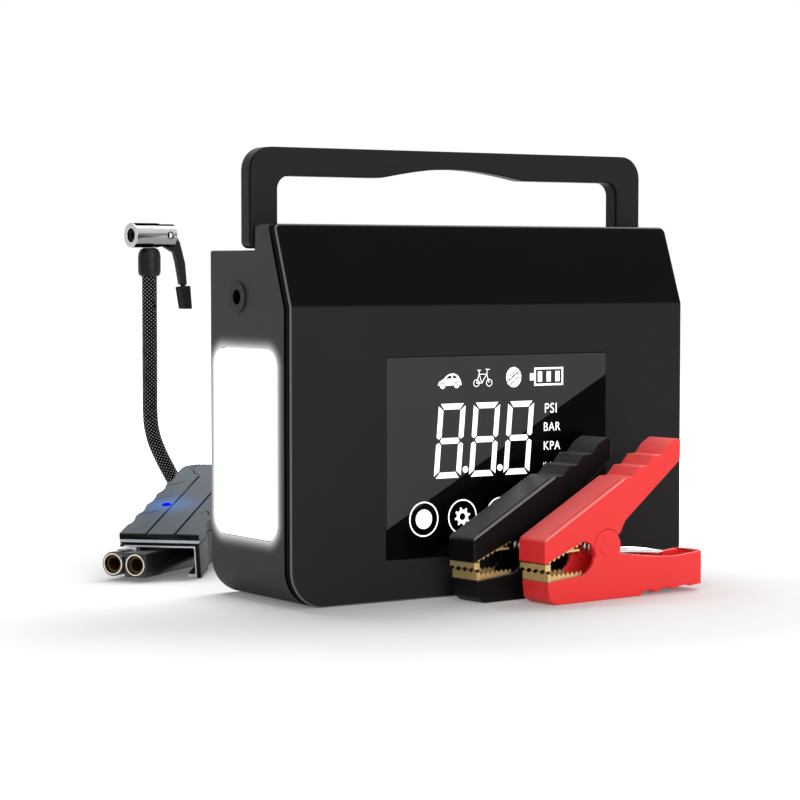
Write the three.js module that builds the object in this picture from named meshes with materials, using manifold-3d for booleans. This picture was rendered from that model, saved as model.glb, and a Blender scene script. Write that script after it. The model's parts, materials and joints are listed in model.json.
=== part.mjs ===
// Jump starter pack with a built-in tyre compressor, its two battery clamps, the lead module with its
// two-barrel plug, and the air hose with a lever chuck. Millimetres, +Z up, the display faces -Y, and
// the origin is the middle of the flat base of the main unit.
import * as THREE from 'three';
import { mergeVertices } from 'three/addons/utils/BufferGeometryUtils.js';
import Module from 'manifold-3d';

const wasm = await Module();
wasm.setup();

// ---------------------------------------------------------------- driving dimensions
const GAP = 0.35;                 // clearance between neighbouring pieces

// main unit
const WIDTH = 200;                // along X
const DEPTH = 64;                 // along Y
const SHOULDER_Z = 120;           // where the front face starts to lean back
const PLATEAU_Z = 153;            // top of the raised front part
const PLATEAU_FRONT = 12;         // how far the lean takes the front edge back
const PLATEAU_REAR = 27.3;        // from the front face to the step behind the plateau
const DECK_Z = 142.5;             // lower rear deck, which the folded handle lies on
const BASE_CORNER = 15.6;         // corner radius of the base, seen from the front
const TOP_CORNER = 2.5;
const WALL = 2.6;
const COVER_DEPTH = 3.4;          // visible edge of the front cover
const GROOVE_WIDTH = 1.7;         // dark groove between the front cover and the shell
const GROOVE_DEPTH = 1.4;
const LIP_DEPTH = 1.8;            // locating lip of the front cover inside the shell
const LIP_WALL = 1.6;
const REAR_PLATE = 2.4;           // rear cover thickness
const REAR_MARGIN = 9;            // shell left around the rear cover

// display window and side lamp
const WINDOW = { width: 112.4, height: 82, centreX: 1.5, centreZ: 58.1, corner: 0.8, flange: 2, flangeThick: 1.2 };
const LAMP = { width: 50.4, height: 76.5, centreY: 3.8, centreZ: 64.4, corner: 7.5, flange: 1.8, flangeThick: 1.3 };
const BOARD = 1.6;                // every printed circuit board

// air outlet on the left wall
const PORT = { y: 8.7, z: 123.5, bore: 3.05, flangeRadius: 6.3, flangeThick: 0.5, length: 9, barrel: 4.6 };

// folding handle
const HANDLE = { legWidth: 12.2, barHeight: 11.6, thick: 8.6, top: 184.3, corner: 9.5, innerCorner: 3.5,
  archHalf: 37, archRise: 4.2 };
const HINGE = { y: 2.3, z: 147.5, pinRadius: 1.8, lugWidth: 6, pinInLeg: 8 };

// output sockets on the right wall
const SOCKET = { y: 3, z: 96, width: 24, height: 12.6, depth: 16, flange: 2, pinRadius: 2.6, pinPitch: 10.9 };
const FLAP = { thick: 2.2, margin: 3, barrel: 1.7, pin: 0.8 };
const USB = { y: 3, z: 122, width: 14, height: 6.6, depth: 13, throat: 4.6 };

// battery, board and compressor inside
const CELL = { count: 4, length: 122, thick: 10.8, height: 56, pitch: 11.5, y: 3.2, z: 6 };
const TRAY = { wall: 2, post: 8 };
const CRANK = { x: 0, y: 3, z: 96, thick: 6, throw: 5.5, pinRadius: 2, axleRadius: 2.2 };
const GEAR = { module: 1.2, pinionTeeth: 8, crankTeeth: 24, backlash: 0.45 };
const MOTOR = { radius: 13.5, length: 44, shaftRadius: 1.2, nose: 5 };
const CYLINDER = { x: -16, bore: 10, wall: 2.2, bottom: 108, top: 131.5, head: 3 };
const ROD = { thick: 4, side: 1.5, bridge: 2 };
const PISTON = { length: 6, reach: 24.5 };
const FRAME = { thick: 3, bottom: 77, top: 127.5, front: -14 };
const AIR_PIPE = { radius: 2.2 };

// battery clamps
const CLAMP = { width: 16, wall: 2, length: 92, pivotX: 34.5, pivotZ: 21.6, lobe: 7.2, boss: 3.9, bossRise: 0.3,
  pin: 1.9, ear: 1.6, mouthZ: 17, noseTop: 26.4, topSlope: 0.519, jawPlate: 1.1, toothPitch: 2.6, toothDepth: 1.5,
  endWall: 3.4, endRadius: 6.5, wire: 1 };
const RIDGES = { count: 3, pitch: 8.1, tread: 4.2 };   // stepped finger rests of the upper handle
const CLAMP_TURN = 5;             // degrees, both clamps stand at this angle to the display
const RED_CLAMP_AT = [-10.2, -70.4];
const BLACK_CLAMP_AT = [-30, -49.2];

// lead module and plug
const LEAD = { width: 36, length: 107, height: 20, topShare: 5.2, scallop: 1.1, scallops: 5, endRadius: 7,
  wall: 2, turn: -45, tilt: 12, at: [-91.7, 90.7], recessDepth: 33, recessHeight: 13.6, recessHalf: 15.4,
  sill: 11.9 };
const LED = { radius: 1.9, x: -8.7, y: 42.5 };
const PLUG = { width: 21.6, height: 10.6, length: 44, bore: 4.3, boreDepth: 13, pitch: 11.2, turn: -14,
  at: [-12.1, -15.6], z: 1.9, contactWall: 1.1 };

// air hose and lever chuck
const HOSE = { radius: 3.7, sides: 8 };
const COUPLING = { radius: 6.4, length: 19.4, across: -8, at: 72, noseRadius: 3.2, nose: 8 };
const HOSE_TOP = 131.6;
const FERRULE = { radius: 5.4, bottomRadius: 4.2, length: 12.8, neck: 3.2 };
const CHUCK = { radius: 5.95, length: 23.1, bore: 3.4, boreDepth: 10, z: 150.8, turn: -5, frontReach: 10.6,
  hingeFromEnd: 3.9, slot: 4.2, slotLength: 7.9 };
const LEVER = { thick: 3.5, pin: 1.5, tang: 9.9, tangWidth: 1.8, tangLow: 30, grip: 24 };

// ---------------------------------------------------------------- solids from three.js geometry
function toSolid(geometry) {
  const bare = geometry.clone();
  bare.deleteAttribute('normal');
  bare.deleteAttribute('uv');
  const merged = mergeVertices(bare, 1e-4);
  const corners = merged.index.array;
  const faces = [];
  for (let i = 0; i < corners.length; i += 3) {
    const [a, b, c] = [corners[i], corners[i + 1], corners[i + 2]];
    if (a !== b && b !== c && c !== a) faces.push(a, b, c);
  }
  const vertProperties = new Float32Array(merged.attributes.position.array);
  return new wasm.Manifold(new wasm.Mesh({ numProp: 3, vertProperties, triVerts: new Uint32Array(faces) }));
}

function toGeometry(solid) {
  const { vertProperties, triVerts, numProp } = solid.getMesh();
  const positions = new Float32Array((vertProperties.length / numProp) * 3);
  for (let i = 0; i < positions.length / 3; i++) {
    for (let k = 0; k < 3; k++) positions[3 * i + k] = vertProperties[numProp * i + k];
  }
  const geometry = new THREE.BufferGeometry();
  geometry.setAttribute('position', new THREE.BufferAttribute(positions, 3));
  geometry.setIndex(new THREE.BufferAttribute(new Uint32Array(triVerts), 1));
  geometry.computeVertexNormals();
  return geometry;
}

const join = (...solids) => solids.reduce((a, b) => a.add(b));
const cut = (solid, ...tools) => tools.reduce((a, b) => a.subtract(b), solid);

// the direction of each axis of a flat shape, and the way it is extruded
const PLANES = {
  x: [new THREE.Vector3(0, 1, 0), new THREE.Vector3(0, 0, 1), new THREE.Vector3(1, 0, 0)],
  y: [new THREE.Vector3(1, 0, 0), new THREE.Vector3(0, 0, 1), new THREE.Vector3(0, -1, 0)],
  z: [new THREE.Vector3(1, 0, 0), new THREE.Vector3(0, 1, 0), new THREE.Vector3(0, 0, 1)],
};

// a flat shape of (y, z), (x, z) or (x, y) points, extruded between two places on the third axis
function prism(shape, axis, from, to, curveSegments = 3) {
  const outline = shape instanceof THREE.Shape ? shape : polygon(shape);
  const geometry = new THREE.ExtrudeGeometry(outline, { depth: to - from, bevelEnabled: false, curveSegments });
  const [u, v, w] = PLANES[axis];
  const start = w.clone().multiplyScalar(axis === 'y' ? -to : from);
  geometry.applyMatrix4(new THREE.Matrix4().makeBasis(u, v, w).setPosition(start));
  return toSolid(geometry);
}

function polygon(points) {
  return new THREE.Shape(points.map(([a, b]) => new THREE.Vector2(a, b)));
}

function block(x0, x1, y0, y1, z0, z1) {
  const geometry = new THREE.BoxGeometry(x1 - x0, y1 - y0, z1 - z0);
  geometry.translate((x0 + x1) / 2, (y0 + y1) / 2, (z0 + z1) / 2);
  return toSolid(geometry);
}

// a round bar along an axis, from one place to another, its middle at (a, b) of the other two axes
function bar(axis, a, b, radius, from, to, sides = 20, endRadius = radius) {
  const geometry = new THREE.CylinderGeometry(endRadius, radius, to - from, sides);
  if (axis === 'x') geometry.rotateZ(-Math.PI / 2);
  if (axis === 'z') geometry.rotateX(Math.PI / 2);
  const middle = (from + to) / 2;
  const place = { x: [middle, a, b], y: [a, middle, b], z: [a, b, middle] }[axis];
  geometry.translate(...place);
  return toSolid(geometry);
}

function roundedRect(width, height, radius, centreA = 0, centreB = 0) {
  const [w, h] = [width / 2, height / 2];
  const shape = new THREE.Shape();
  const corners = [[w, -h, -90], [w, h, 0], [-w, h, 90], [-w, -h, 180]];
  for (const [a, b, start] of corners) {
    const from = THREE.MathUtils.degToRad(start);
    const [ca, cb] = [centreA + a - Math.sign(a) * radius, centreB + b - Math.sign(b) * radius];
    shape.absarc(ca, cb, radius, from, from + Math.PI / 2, false);
  }
  return shape;
}

// a closed polygon moved inwards by a distance, each corner on the crossing of its two moved sides
function inset(points, distance) {
  const count = points.length;
  const side = (i) => {
    const [a, b] = [points[i % count], points[(i + 1) % count]];
    const length = Math.hypot(b[0] - a[0], b[1] - a[1]);
    const [dx, dy] = [(b[0] - a[0]) / length, (b[1] - a[1]) / length];
    return { x: a[0] - dy * distance, y: a[1] + dx * distance, dx, dy };
  };
  return points.map((_, i) => {
    const [p, q] = [side(i + count - 1), side(i)];
    const t = ((q.x - p.x) * q.dy - (q.y - p.y) * q.dx) / (p.dx * q.dy - p.dy * q.dx);
    return [p.x + t * p.dx, p.y + t * p.dy];
  });
}

// a tube along a smooth curve through points
function tubeAlong(points, radius, sides, steps) {
  const curve = new THREE.CatmullRomCurve3(points.map((p) => new THREE.Vector3(...p)), false, 'centripetal');
  const section = new THREE.Shape();
  section.absarc(0, 0, radius, 0, Math.PI * 2, false);
  return new THREE.ExtrudeGeometry(section, { steps, extrudePath: curve, curveSegments: sides / 2 });
}

// ---------------------------------------------------------------- finishes
const paint = (color, roughness, metalness = 0) => new THREE.MeshStandardMaterial({ color, roughness, metalness });
const FINISH = {
  shell: paint(0x3c3c3d, 0.5), cover: paint(0x2f2f30, 0.45), dark: paint(0x161617, 0.5),
  glass: paint(0x101012, 0.08), lamp: paint(0xf6f6f2, 0.3), board: paint(0x1d5b3c, 0.6),
  cell: paint(0x4d6f9c, 0.5), steel: paint(0xc9ccd0, 0.3, 1), brass: paint(0xd8bd85, 0.35, 1),
  chrome: paint(0xd6d9dc, 0.15, 1), red: paint(0xff4a48, 0.5), darkRed: paint(0xd93a3a, 0.5),
  black: paint(0x333436, 0.5), grey: paint(0x69737a, 0.5), led: paint(0x1b4cff, 0.3),
  rubber: paint(0x1c1c1d, 0.8), nylon: paint(0xe9e6dc, 0.6), braid: paint(0x1a1a1a, 0.8),
};

const part = new THREE.Group();

function place(parent, name, shape, finish) {
  const mesh = new THREE.Mesh(shape instanceof THREE.BufferGeometry ? shape : toGeometry(shape), finish);
  mesh.name = name;
  parent.add(mesh);
  return mesh;
}

// ---------------------------------------------------------------- outer form of the main unit
const FRONT = -DEPTH / 2;
const REAR = DEPTH / 2;
const SIDE = WIDTH / 2;

// side view of the unit as (y, z), anticlockwise
const PROFILE = [
  [FRONT, 0], [REAR, 0], [REAR, DECK_Z], [FRONT + PLATEAU_REAR, DECK_Z], [FRONT + PLATEAU_REAR, PLATEAU_Z],
  [FRONT + PLATEAU_FRONT, PLATEAU_Z], [FRONT, SHOULDER_Z],
];

// front view of the unit as a shape of (x, z), moved inwards by a distance
function frontOutline(distance) {
  const [side, base, top] = [SIDE - distance, distance, PLATEAU_Z - distance];
  const [low, high] = [Math.max(BASE_CORNER - distance, 1), Math.max(TOP_CORNER - distance, 0.4)];
  const shape = new THREE.Shape();
  shape.absarc(side - low, base + low, low, -Math.PI / 2, 0, false);
  shape.absarc(side - high, top - high, high, 0, Math.PI / 2, false);
  shape.absarc(high - side, top - high, high, Math.PI / 2, Math.PI, false);
  shape.absarc(low - side, base + low, low, Math.PI, Math.PI * 1.5, false);
  return shape;
}

// the whole form of the unit, moved inwards by a distance
function unitForm(distance) {
  const sideView = prism(inset(PROFILE, distance), 'x', -SIDE, SIDE);
  return sideView.intersect(prism(frontOutline(distance), 'y', FRONT - 1, REAR + 1, 8));
}

// everything between two depths behind the front face and its lean
function frontLayer(near, far) {
  const lean = Math.atan2(PLATEAU_FRONT, PLATEAU_Z - SHOULDER_Z);
  const spare = 60;
  const line = (depth) => {
    const kneeZ = SHOULDER_Z - depth * Math.tan(lean / 2);
    const y = FRONT + depth;
    return [[y, -spare], [y, kneeZ], [y + spare * Math.tan(lean) * 2, kneeZ + spare * 2]];
  };
  return prism([...line(far), ...line(near).reverse()], 'x', -SIDE - 1, SIDE + 1);
}

const INNER = unitForm(WALL);

function lampOpening(clearance, x0, x1) {
  const shape = roundedRect(LAMP.width + 2 * clearance, LAMP.height + 2 * clearance, LAMP.corner + clearance,
    LAMP.centreY, LAMP.centreZ);
  return prism(shape, 'x', x0, x1, 5);
}

function windowOpening(clearance, y0, y1) {
  const shape = roundedRect(WINDOW.width + 2 * clearance, WINDOW.height + 2 * clearance,
    WINDOW.corner + clearance, WINDOW.centreX, WINDOW.centreZ);
  return prism(shape, 'y', y0, y1, 1);
}

const REAR_OPENING = { width: WIDTH - 2 * REAR_MARGIN, height: DECK_Z - 2 * REAR_MARGIN, corner: 8 };
const REAR_CENTRE_Z = DECK_Z / 2;
const REAR_LEDGE = 5;             // width of the ledge that the rear cover is screwed to
const SCREW = { radius: 1.5, head: 2.9, headThick: 1.6, length: 9, inset: 5.5, boss: 4 };

function rearOpening(clearance, y0, y1) {
  const shape = roundedRect(REAR_OPENING.width + 2 * clearance, REAR_OPENING.height + 2 * clearance,
    REAR_OPENING.corner + clearance, 0, REAR_CENTRE_Z);
  return prism(shape, 'y', y0, y1, 2);
}

const SCREW_PLACES = [];
for (const sx of [-1, 1]) {
  for (const sz of [-1, 1]) {
    SCREW_PLACES.push([sx * (REAR_OPENING.width / 2 - SCREW.inset),
      REAR_CENTRE_Z + sz * (REAR_OPENING.height / 2 - SCREW.inset)]);
  }
}

const LEG_INNER = SIDE - HANDLE.legWidth;
const LUG_OUTER = LEG_INNER - 0.5;
const LUG_INNER = LUG_OUTER - HINGE.lugWidth;
const HINGE_TO_PLATEAU = HINGE.y - (FRONT + PLATEAU_REAR);

function hingeLug(side) {
  const radius = HANDLE.thick / 2;
  const lug = join(block(LUG_INNER, LUG_OUTER, HINGE.y - radius, HINGE.y + radius, DECK_Z - 1, HINGE.z),
    bar('x', HINGE.y, HINGE.z, radius, LUG_INNER, LUG_OUTER));
  const bored = cut(lug, bar('x', HINGE.y, HINGE.z, HINGE.pinRadius + GAP, LUG_INNER - 1, LUG_OUTER + 1, 12));
  return side > 0 ? bored : bored.mirror([1, 0, 0]);
}

const shellStart = COVER_DEPTH + GROOVE_WIDTH;
const rearFloor = REAR - REAR_PLATE - GAP;

function mainShell() {
  const spare = 200;
  const tub = cut(unitForm(0).intersect(frontLayer(shellStart, spare)), INNER);
  const ledge = cut(rearOpening(2, rearFloor - WALL, REAR - 1), rearOpening(-REAR_LEDGE, rearFloor - 9, REAR));
  const bosses = SCREW_PLACES.map(([x, z]) => bar('y', x, z, SCREW.boss, rearFloor - SCREW.length, rearFloor, 12));
  const body = join(tub, ledge.intersect(unitForm(0.5)), ...bosses, hingeLug(1), hingeLug(-1));
  const socketHole = block(SIDE - WALL - 1, SIDE + 1, SOCKET.y - SOCKET.width / 2 - GAP,
    SOCKET.y + SOCKET.width / 2 + GAP, SOCKET.z - SOCKET.height / 2 - GAP, SOCKET.z + SOCKET.height / 2 + GAP);
  const usbHole = block(SIDE - WALL - 1, SIDE + 1, USB.y - USB.width / 2 - GAP, USB.y + USB.width / 2 + GAP,
    USB.z - USB.height / 2 - GAP, USB.z + USB.height / 2 + GAP);
  return cut(body, rearOpening(GAP, rearFloor, REAR + 1), lampOpening(GAP, -SIDE - 1, -SIDE + WALL + 1),
    bar('x', PORT.y, PORT.z, PORT.barrel + GAP, -SIDE - 1, -SIDE + WALL + 1, 16), socketHole, usbHole,
    ...SCREW_PLACES.map(([x, z]) => bar('y', x, z, SCREW.radius + GAP, rearFloor - SCREW.length - 1, REAR, 10)));
}

function frontCover() {
  const skin = unitForm(0).intersect(frontLayer(-1, COVER_DEPTH));
  const skirt = cut(unitForm(GROOVE_DEPTH).intersect(frontLayer(COVER_DEPTH - 0.2, shellStart - GAP)), INNER);
  const lipOuter = unitForm(WALL + GAP).intersect(frontLayer(COVER_DEPTH - 0.2, shellStart + LIP_DEPTH));
  const lip = cut(lipOuter, prism(frontOutline(WALL + GAP + LIP_WALL), 'y', FRONT - 1, REAR + 1, 8));
  return cut(join(skin, skirt, lip), windowOpening(GAP, FRONT - 1, FRONT + COVER_DEPTH + 1));
}

function rearCover() {
  const plate = rearOpening(0, REAR - REAR_PLATE, REAR);
  return cut(plate, ...SCREW_PLACES.flatMap(([x, z]) => [
    bar('y', x, z, SCREW.radius + GAP, REAR - 5, REAR + 1, 10),
    bar('y', x, z, SCREW.head + GAP, REAR - SCREW.headThick, REAR + 1, 14),
  ]));
}

function rearScrew([x, z]) {
  const headFace = REAR - 0.3;
  const shankEnd = rearFloor - SCREW.length + 1;
  const head = bar('y', x, z, SCREW.head, headFace - SCREW.headThick + GAP, headFace, 14);
  const drive = bar('y', x, z, 1.1, headFace - 0.8, headFace + 1, 6);
  return cut(join(head, bar('y', x, z, SCREW.radius, shankEnd, headFace - 0.5, 10)), drive);
}

// ---------------------------------------------------------------- window, lamp, port and sockets
function displayWindow() {
  const pane = windowOpening(0, FRONT, FRONT + COVER_DEPTH + GAP);
  const flangeStart = FRONT + COVER_DEPTH + GAP;
  return join(pane, windowOpening(WINDOW.flange, flangeStart, flangeStart + WINDOW.flangeThick));
}

function displayBoard() {
  const start = FRONT + COVER_DEPTH + GAP + WINDOW.flangeThick + GAP;
  const plate = windowOpening(0.5, start, start + BOARD);
  const chip = block(-14, 14, start + BOARD - 0.1, start + BOARD + 1.2, WINDOW.centreZ - 9, WINDOW.centreZ + 9);
  return join(plate, chip);
}

const lampInside = -SIDE + WALL + GAP;

function lampLens() {
  const halfZ = LAMP.height / 2 + LAMP.flange;
  const front = LAMP.centreY - LAMP.width / 2 - LAMP.flange * 0.6;
  const flange = block(lampInside - 0.1, lampInside + LAMP.flangeThick, front, LAMP.centreY + LAMP.width / 2,
    LAMP.centreZ - halfZ, LAMP.centreZ + halfZ);
  return join(lampOpening(0, -SIDE, lampInside), flange);
}

function lampBoard() {
  const start = lampInside + LAMP.flangeThick + GAP;
  const plate = lampOpening(-1, start, start + BOARD);
  const connector = block(start + BOARD - 0.1, start + BOARD + 3, LAMP.centreY - 5, LAMP.centreY + 5,
    LAMP.centreZ - 3, LAMP.centreZ + 3);
  return join(plate, connector);
}

function airPort() {
  const flange = bar('x', PORT.y, PORT.z, PORT.flangeRadius, -SIDE - GAP - PORT.flangeThick, -SIDE - GAP, 24);
  const barrel = bar('x', PORT.y, PORT.z, PORT.barrel, -SIDE - GAP - 0.1, -SIDE + PORT.length, 16);
  const bore = bar('x', PORT.y, PORT.z, PORT.bore, -SIDE - 5, -SIDE + PORT.length - 2, 16);
  return cut(join(flange, barrel), bore);
}

function outputSocket() {
  const halfY = SOCKET.width / 2;
  const halfZ = SOCKET.height / 2;
  const inner = SIDE - WALL - GAP;
  const body = join(
    block(SIDE - SOCKET.depth, SIDE, SOCKET.y - halfY, SOCKET.y + halfY, SOCKET.z - halfZ, SOCKET.z + halfZ),
    block(inner - SOCKET.flange, inner, SOCKET.y - halfY - 2, SOCKET.y + halfY + 2, SOCKET.z - halfZ - 2,
      SOCKET.z + halfZ + 2));
  const wells = [-1, 1].map((side) => {
    const y = SOCKET.y + side * SOCKET.pinPitch / 2;
    return cut(bar('x', y, SOCKET.z, SOCKET.pinRadius * 1.9, SIDE - SOCKET.depth + 3, SIDE + 1, 16),
      bar('x', y, SOCKET.z, SOCKET.pinRadius, SIDE - SOCKET.depth, SIDE - 3, 12));
  });
  return cut(body, ...wells);
}

const FLAP_HALF = SOCKET.width / 2 + FLAP.margin;
const FLAP_TOP = SOCKET.z + SOCKET.height / 2 + FLAP.margin;
const FLAP_AXIS = { x: SIDE + GAP + FLAP.barrel, z: FLAP_TOP + FLAP.barrel };

function socketFlap() {
  const inner = SIDE + GAP;
  const panel = block(inner, inner + FLAP.thick, SOCKET.y - FLAP_HALF, SOCKET.y + FLAP_HALF,
    SOCKET.z - SOCKET.height / 2 - FLAP.margin, FLAP_TOP + 0.3);
  const roll = bar('y', FLAP_AXIS.x, FLAP_AXIS.z, FLAP.barrel, SOCKET.y - FLAP_HALF, SOCKET.y + FLAP_HALF, 14);
  const bore = bar('y', FLAP_AXIS.x, FLAP_AXIS.z, FLAP.pin + GAP, SOCKET.y - FLAP_HALF - 1,
    SOCKET.y + FLAP_HALF + 1, 10);
  return cut(join(panel, roll), bore);
}

function flapPin() {
  const reach = FLAP_HALF + 2.4;
  const rod = bar('y', FLAP_AXIS.x, FLAP_AXIS.z, FLAP.pin, SOCKET.y - reach, SOCKET.y + reach, 10);
  const feet = [-1, 1].map((side) => {
    const outer = SOCKET.y + side * reach;
    const inner = outer - side * 1.8;
    return block(SIDE + GAP, FLAP_AXIS.x + FLAP.pin + 0.5, Math.min(outer, inner), Math.max(outer, inner),
      FLAP_AXIS.z - 1.6, FLAP_AXIS.z + 1.6);
  });
  return join(rod, ...feet);
}

function usbSocket() {
  const [halfY, halfZ] = [USB.width / 2, USB.height / 2];
  const inner = SIDE - WALL - GAP;
  const body = join(
    block(SIDE - USB.depth, SIDE, USB.y - halfY, USB.y + halfY, USB.z - halfZ, USB.z + halfZ),
    block(inner - 1.5, inner, USB.y - halfY - 1.5, USB.y + halfY + 1.5, USB.z - halfZ - 1.5, USB.z + halfZ + 1.5));
  const throat = block(SIDE - USB.depth + 2, SIDE + 1, USB.y - halfY + 1, USB.y + halfY - 1,
    USB.z - USB.throat / 2, USB.z + USB.throat / 2);
  const tongue = block(SIDE - USB.depth, SIDE - 1.5, USB.y - halfY + 2.5, USB.y + halfY - 2.5,
    USB.z - 0.6, USB.z + 0.6);
  return cut(body, cut(throat, tongue));
}

// ---------------------------------------------------------------- folding handle
function foldingHandle() {
  const { legWidth, barHeight, thick, top, corner, innerCorner, archHalf, archRise } = HANDLE;
  const foot = HINGE.z - thick / 2;
  const under = top - barHeight;
  const shape = new THREE.Shape();
  shape.moveTo(-SIDE, foot);
  shape.lineTo(-LEG_INNER, foot);
  shape.absarc(-LEG_INNER + innerCorner, under - innerCorner, innerCorner, Math.PI, Math.PI / 2, true);
  shape.lineTo(-archHalf, under);
  shape.quadraticCurveTo(-archHalf * 0.62, under + archRise, 0, under + archRise);
  shape.quadraticCurveTo(archHalf * 0.62, under + archRise, archHalf, under);
  shape.absarc(LEG_INNER - innerCorner, under - innerCorner, innerCorner, Math.PI / 2, 0, true);
  shape.lineTo(LEG_INNER, foot);
  shape.lineTo(SIDE, foot);
  shape.absarc(SIDE - corner, top - corner, corner, 0, Math.PI / 2, false);
  shape.absarc(-SIDE + corner, top - corner, corner, Math.PI / 2, Math.PI, false);
  const half = thick / 2;
  const frontView = prism(shape, 'y', HINGE.y - half, HINGE.y + half, 7);
  const sideView = join(block(-SIDE - 1, SIDE + 1, HINGE.y - half, HINGE.y + half, HINGE.z, top + 1),
    bar('x', HINGE.y, HINGE.z, half, -SIDE - 1, SIDE + 1, 20));
  const bores = [-1, 1].map((side) => {
    const ends = [side * (LEG_INNER - 1), side * (LEG_INNER + HINGE.pinInLeg + GAP)];
    return bar('x', HINGE.y, HINGE.z, HINGE.pinRadius + GAP, Math.min(...ends), Math.max(...ends), 12);
  });
  return cut(frontView.intersect(sideView), ...bores);
}

function hingePin(side) {
  const ends = [side * LUG_INNER, side * (LEG_INNER + HINGE.pinInLeg)];
  return bar('x', HINGE.y, HINGE.z, HINGE.pinRadius, Math.min(...ends), Math.max(...ends), 12);
}

// ---------------------------------------------------------------- battery and boards
const cellRight = REAR_OPENING.width / 2 - SCREW.inset - SCREW.boss - TRAY.wall - 2 * GAP;
const cellX = cellRight - CELL.length / 2;
const cellStart = CELL.y - ((CELL.count - 1) * CELL.pitch) / 2;
const trayHalf = ((CELL.count - 1) * CELL.pitch + CELL.thick) / 2 + GAP;
const cellTop = CELL.z + CELL.height;

function batteryCell(index) {
  const y = cellStart + index * CELL.pitch;
  const half = CELL.length / 2;
  const can = prism(roundedRect(CELL.length, CELL.height, 2.5, cellX, CELL.z + CELL.height / 2), 'y',
    y - CELL.thick / 2, y + CELL.thick / 2, 2);
  const tabs = [-1, 1].map((side) => block(cellX + side * half * 0.6 - 4, cellX + side * half * 0.6 + 4,
    y - 0.6, y + 0.6, cellTop - 0.5, cellTop + 2.4));
  return join(can, ...tabs);
}

function batteryTray() {
  const x0 = cellX - CELL.length / 2 - GAP;
  const x1 = cellX + CELL.length / 2 + GAP;
  const [y0, y1] = [CELL.y - trayHalf, CELL.y + trayHalf];
  const base = CELL.z - GAP;
  const outer = block(x0 - TRAY.wall, x1 + TRAY.wall, y0, y1, WALL + GAP, cellTop + TRAY.post - 3);
  const hollow = block(x0, x1, y0 - 1, y1 + 1, base, cellTop + TRAY.post);
  return cut(outer, hollow);
}

const boardZ = cellTop + TRAY.post - 3 + GAP;

function mainBoard() {
  const x0 = cellX - CELL.length / 2 - TRAY.wall;
  const x1 = cellX + CELL.length / 2 + TRAY.wall;
  const plate = block(x0, x1, CELL.y - trayHalf, CELL.y + trayHalf, boardZ, boardZ + BOARD);
  const relay = block(x1 - 34, x1 - 14, CELL.y - 9, CELL.y + 9, boardZ + BOARD - 0.1, boardZ + BOARD + 12);
  const capacitors = [0, 1].map((i) => bar('z', x1 - 56 + 12 * i, CELL.y - 12, 4, boardZ + BOARD - 0.1,
    boardZ + BOARD + 9, 14));
  return join(plate, relay, ...capacitors);
}

// ---------------------------------------------------------------- compressor
// gear outline with straight-sided teeth, its first tooth on the +a axis turned by phase
function gearShape(teeth, phase) {
  const pitchRadius = (GEAR.module * teeth) / 2;
  const [tip, root] = [pitchRadius + GEAR.module * 0.85, pitchRadius - GEAR.module * 1.1];
  const step = (Math.PI * 2) / teeth;
  const thinner = GEAR.backlash / 2 / pitchRadius;
  const points = [];
  for (let i = 0; i < teeth; i++) {
    const middle = phase + i * step;
    const rootHalf = step * 0.31 - thinner;
    const tipHalf = step * 0.13 - thinner / 2;
    for (const [radius, turn] of [[root, -rootHalf], [tip, -tipHalf], [tip, tipHalf], [root, rootHalf]]) {
      points.push([radius * Math.cos(middle + turn), radius * Math.sin(middle + turn)]);
    }
  }
  return points;
}

const gearDistance = (GEAR.module * (GEAR.pinionTeeth + GEAR.crankTeeth)) / 2 + 0.1;
const MOTOR_Z = CRANK.z + gearDistance;
const MOTOR_X = CRANK.x + CRANK.thick + GAP + FRAME.thick;
const shiftShape = (points, a, b) => points.map(([p, q]) => [p + a, q + b]);

function motorPinion() {
  const halfStep = Math.PI / GEAR.pinionTeeth;
  const teeth = prism(shiftShape(gearShape(GEAR.pinionTeeth, -Math.PI / 2 + halfStep), CRANK.y, MOTOR_Z), 'x',
    CRANK.x, CRANK.x + CRANK.thick - 1);
  return cut(teeth, bar('x', CRANK.y, MOTOR_Z, MOTOR.shaftRadius + GAP, CRANK.x - 1, CRANK.x + CRANK.thick, 10));
}

function crankGear() {
  const wheel = prism(shiftShape(gearShape(GEAR.crankTeeth, Math.PI / 2), CRANK.y, CRANK.z), 'x',
    CRANK.x, CRANK.x + CRANK.thick - 1);
  const hub = bar('x', CRANK.y, CRANK.z, CRANK.axleRadius, CRANK.x, MOTOR_X + 3, 14);
  const pin = bar('x', CRANK.y, CRANK.z + CRANK.throw, CRANK.pinRadius, CYLINDER.x - ROD.thick / 2 - 1.5,
    CRANK.x + 0.1, 12);
  return join(wheel, hub, pin);
}

const pistonTop = CRANK.z + CRANK.throw + PISTON.reach;

// the rod is one with the piston and ends in a long loop around the whole orbit of the crank pin
function piston() {
  const { x, bore } = CYLINDER;
  const crown = bar('z', x, CRANK.y, bore - GAP, pistonTop - PISTON.length, pistonTop, 20);
  const orbit = CRANK.throw + CRANK.pinRadius + GAP;
  const stroke = CRANK.throw * 2;
  const half = ROD.thick / 2;
  const [low, high] = [CRANK.z - orbit, CRANK.z + orbit + stroke];
  const loop = block(x - half, x + half, CRANK.y - orbit - ROD.side, CRANK.y + orbit + ROD.side,
    low - ROD.bridge, pistonTop - PISTON.length + 0.5);
  return join(crown, cut(loop, block(x - ROD.thick, x + ROD.thick, CRANK.y - orbit, CRANK.y + orbit, low, high)));
}

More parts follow.
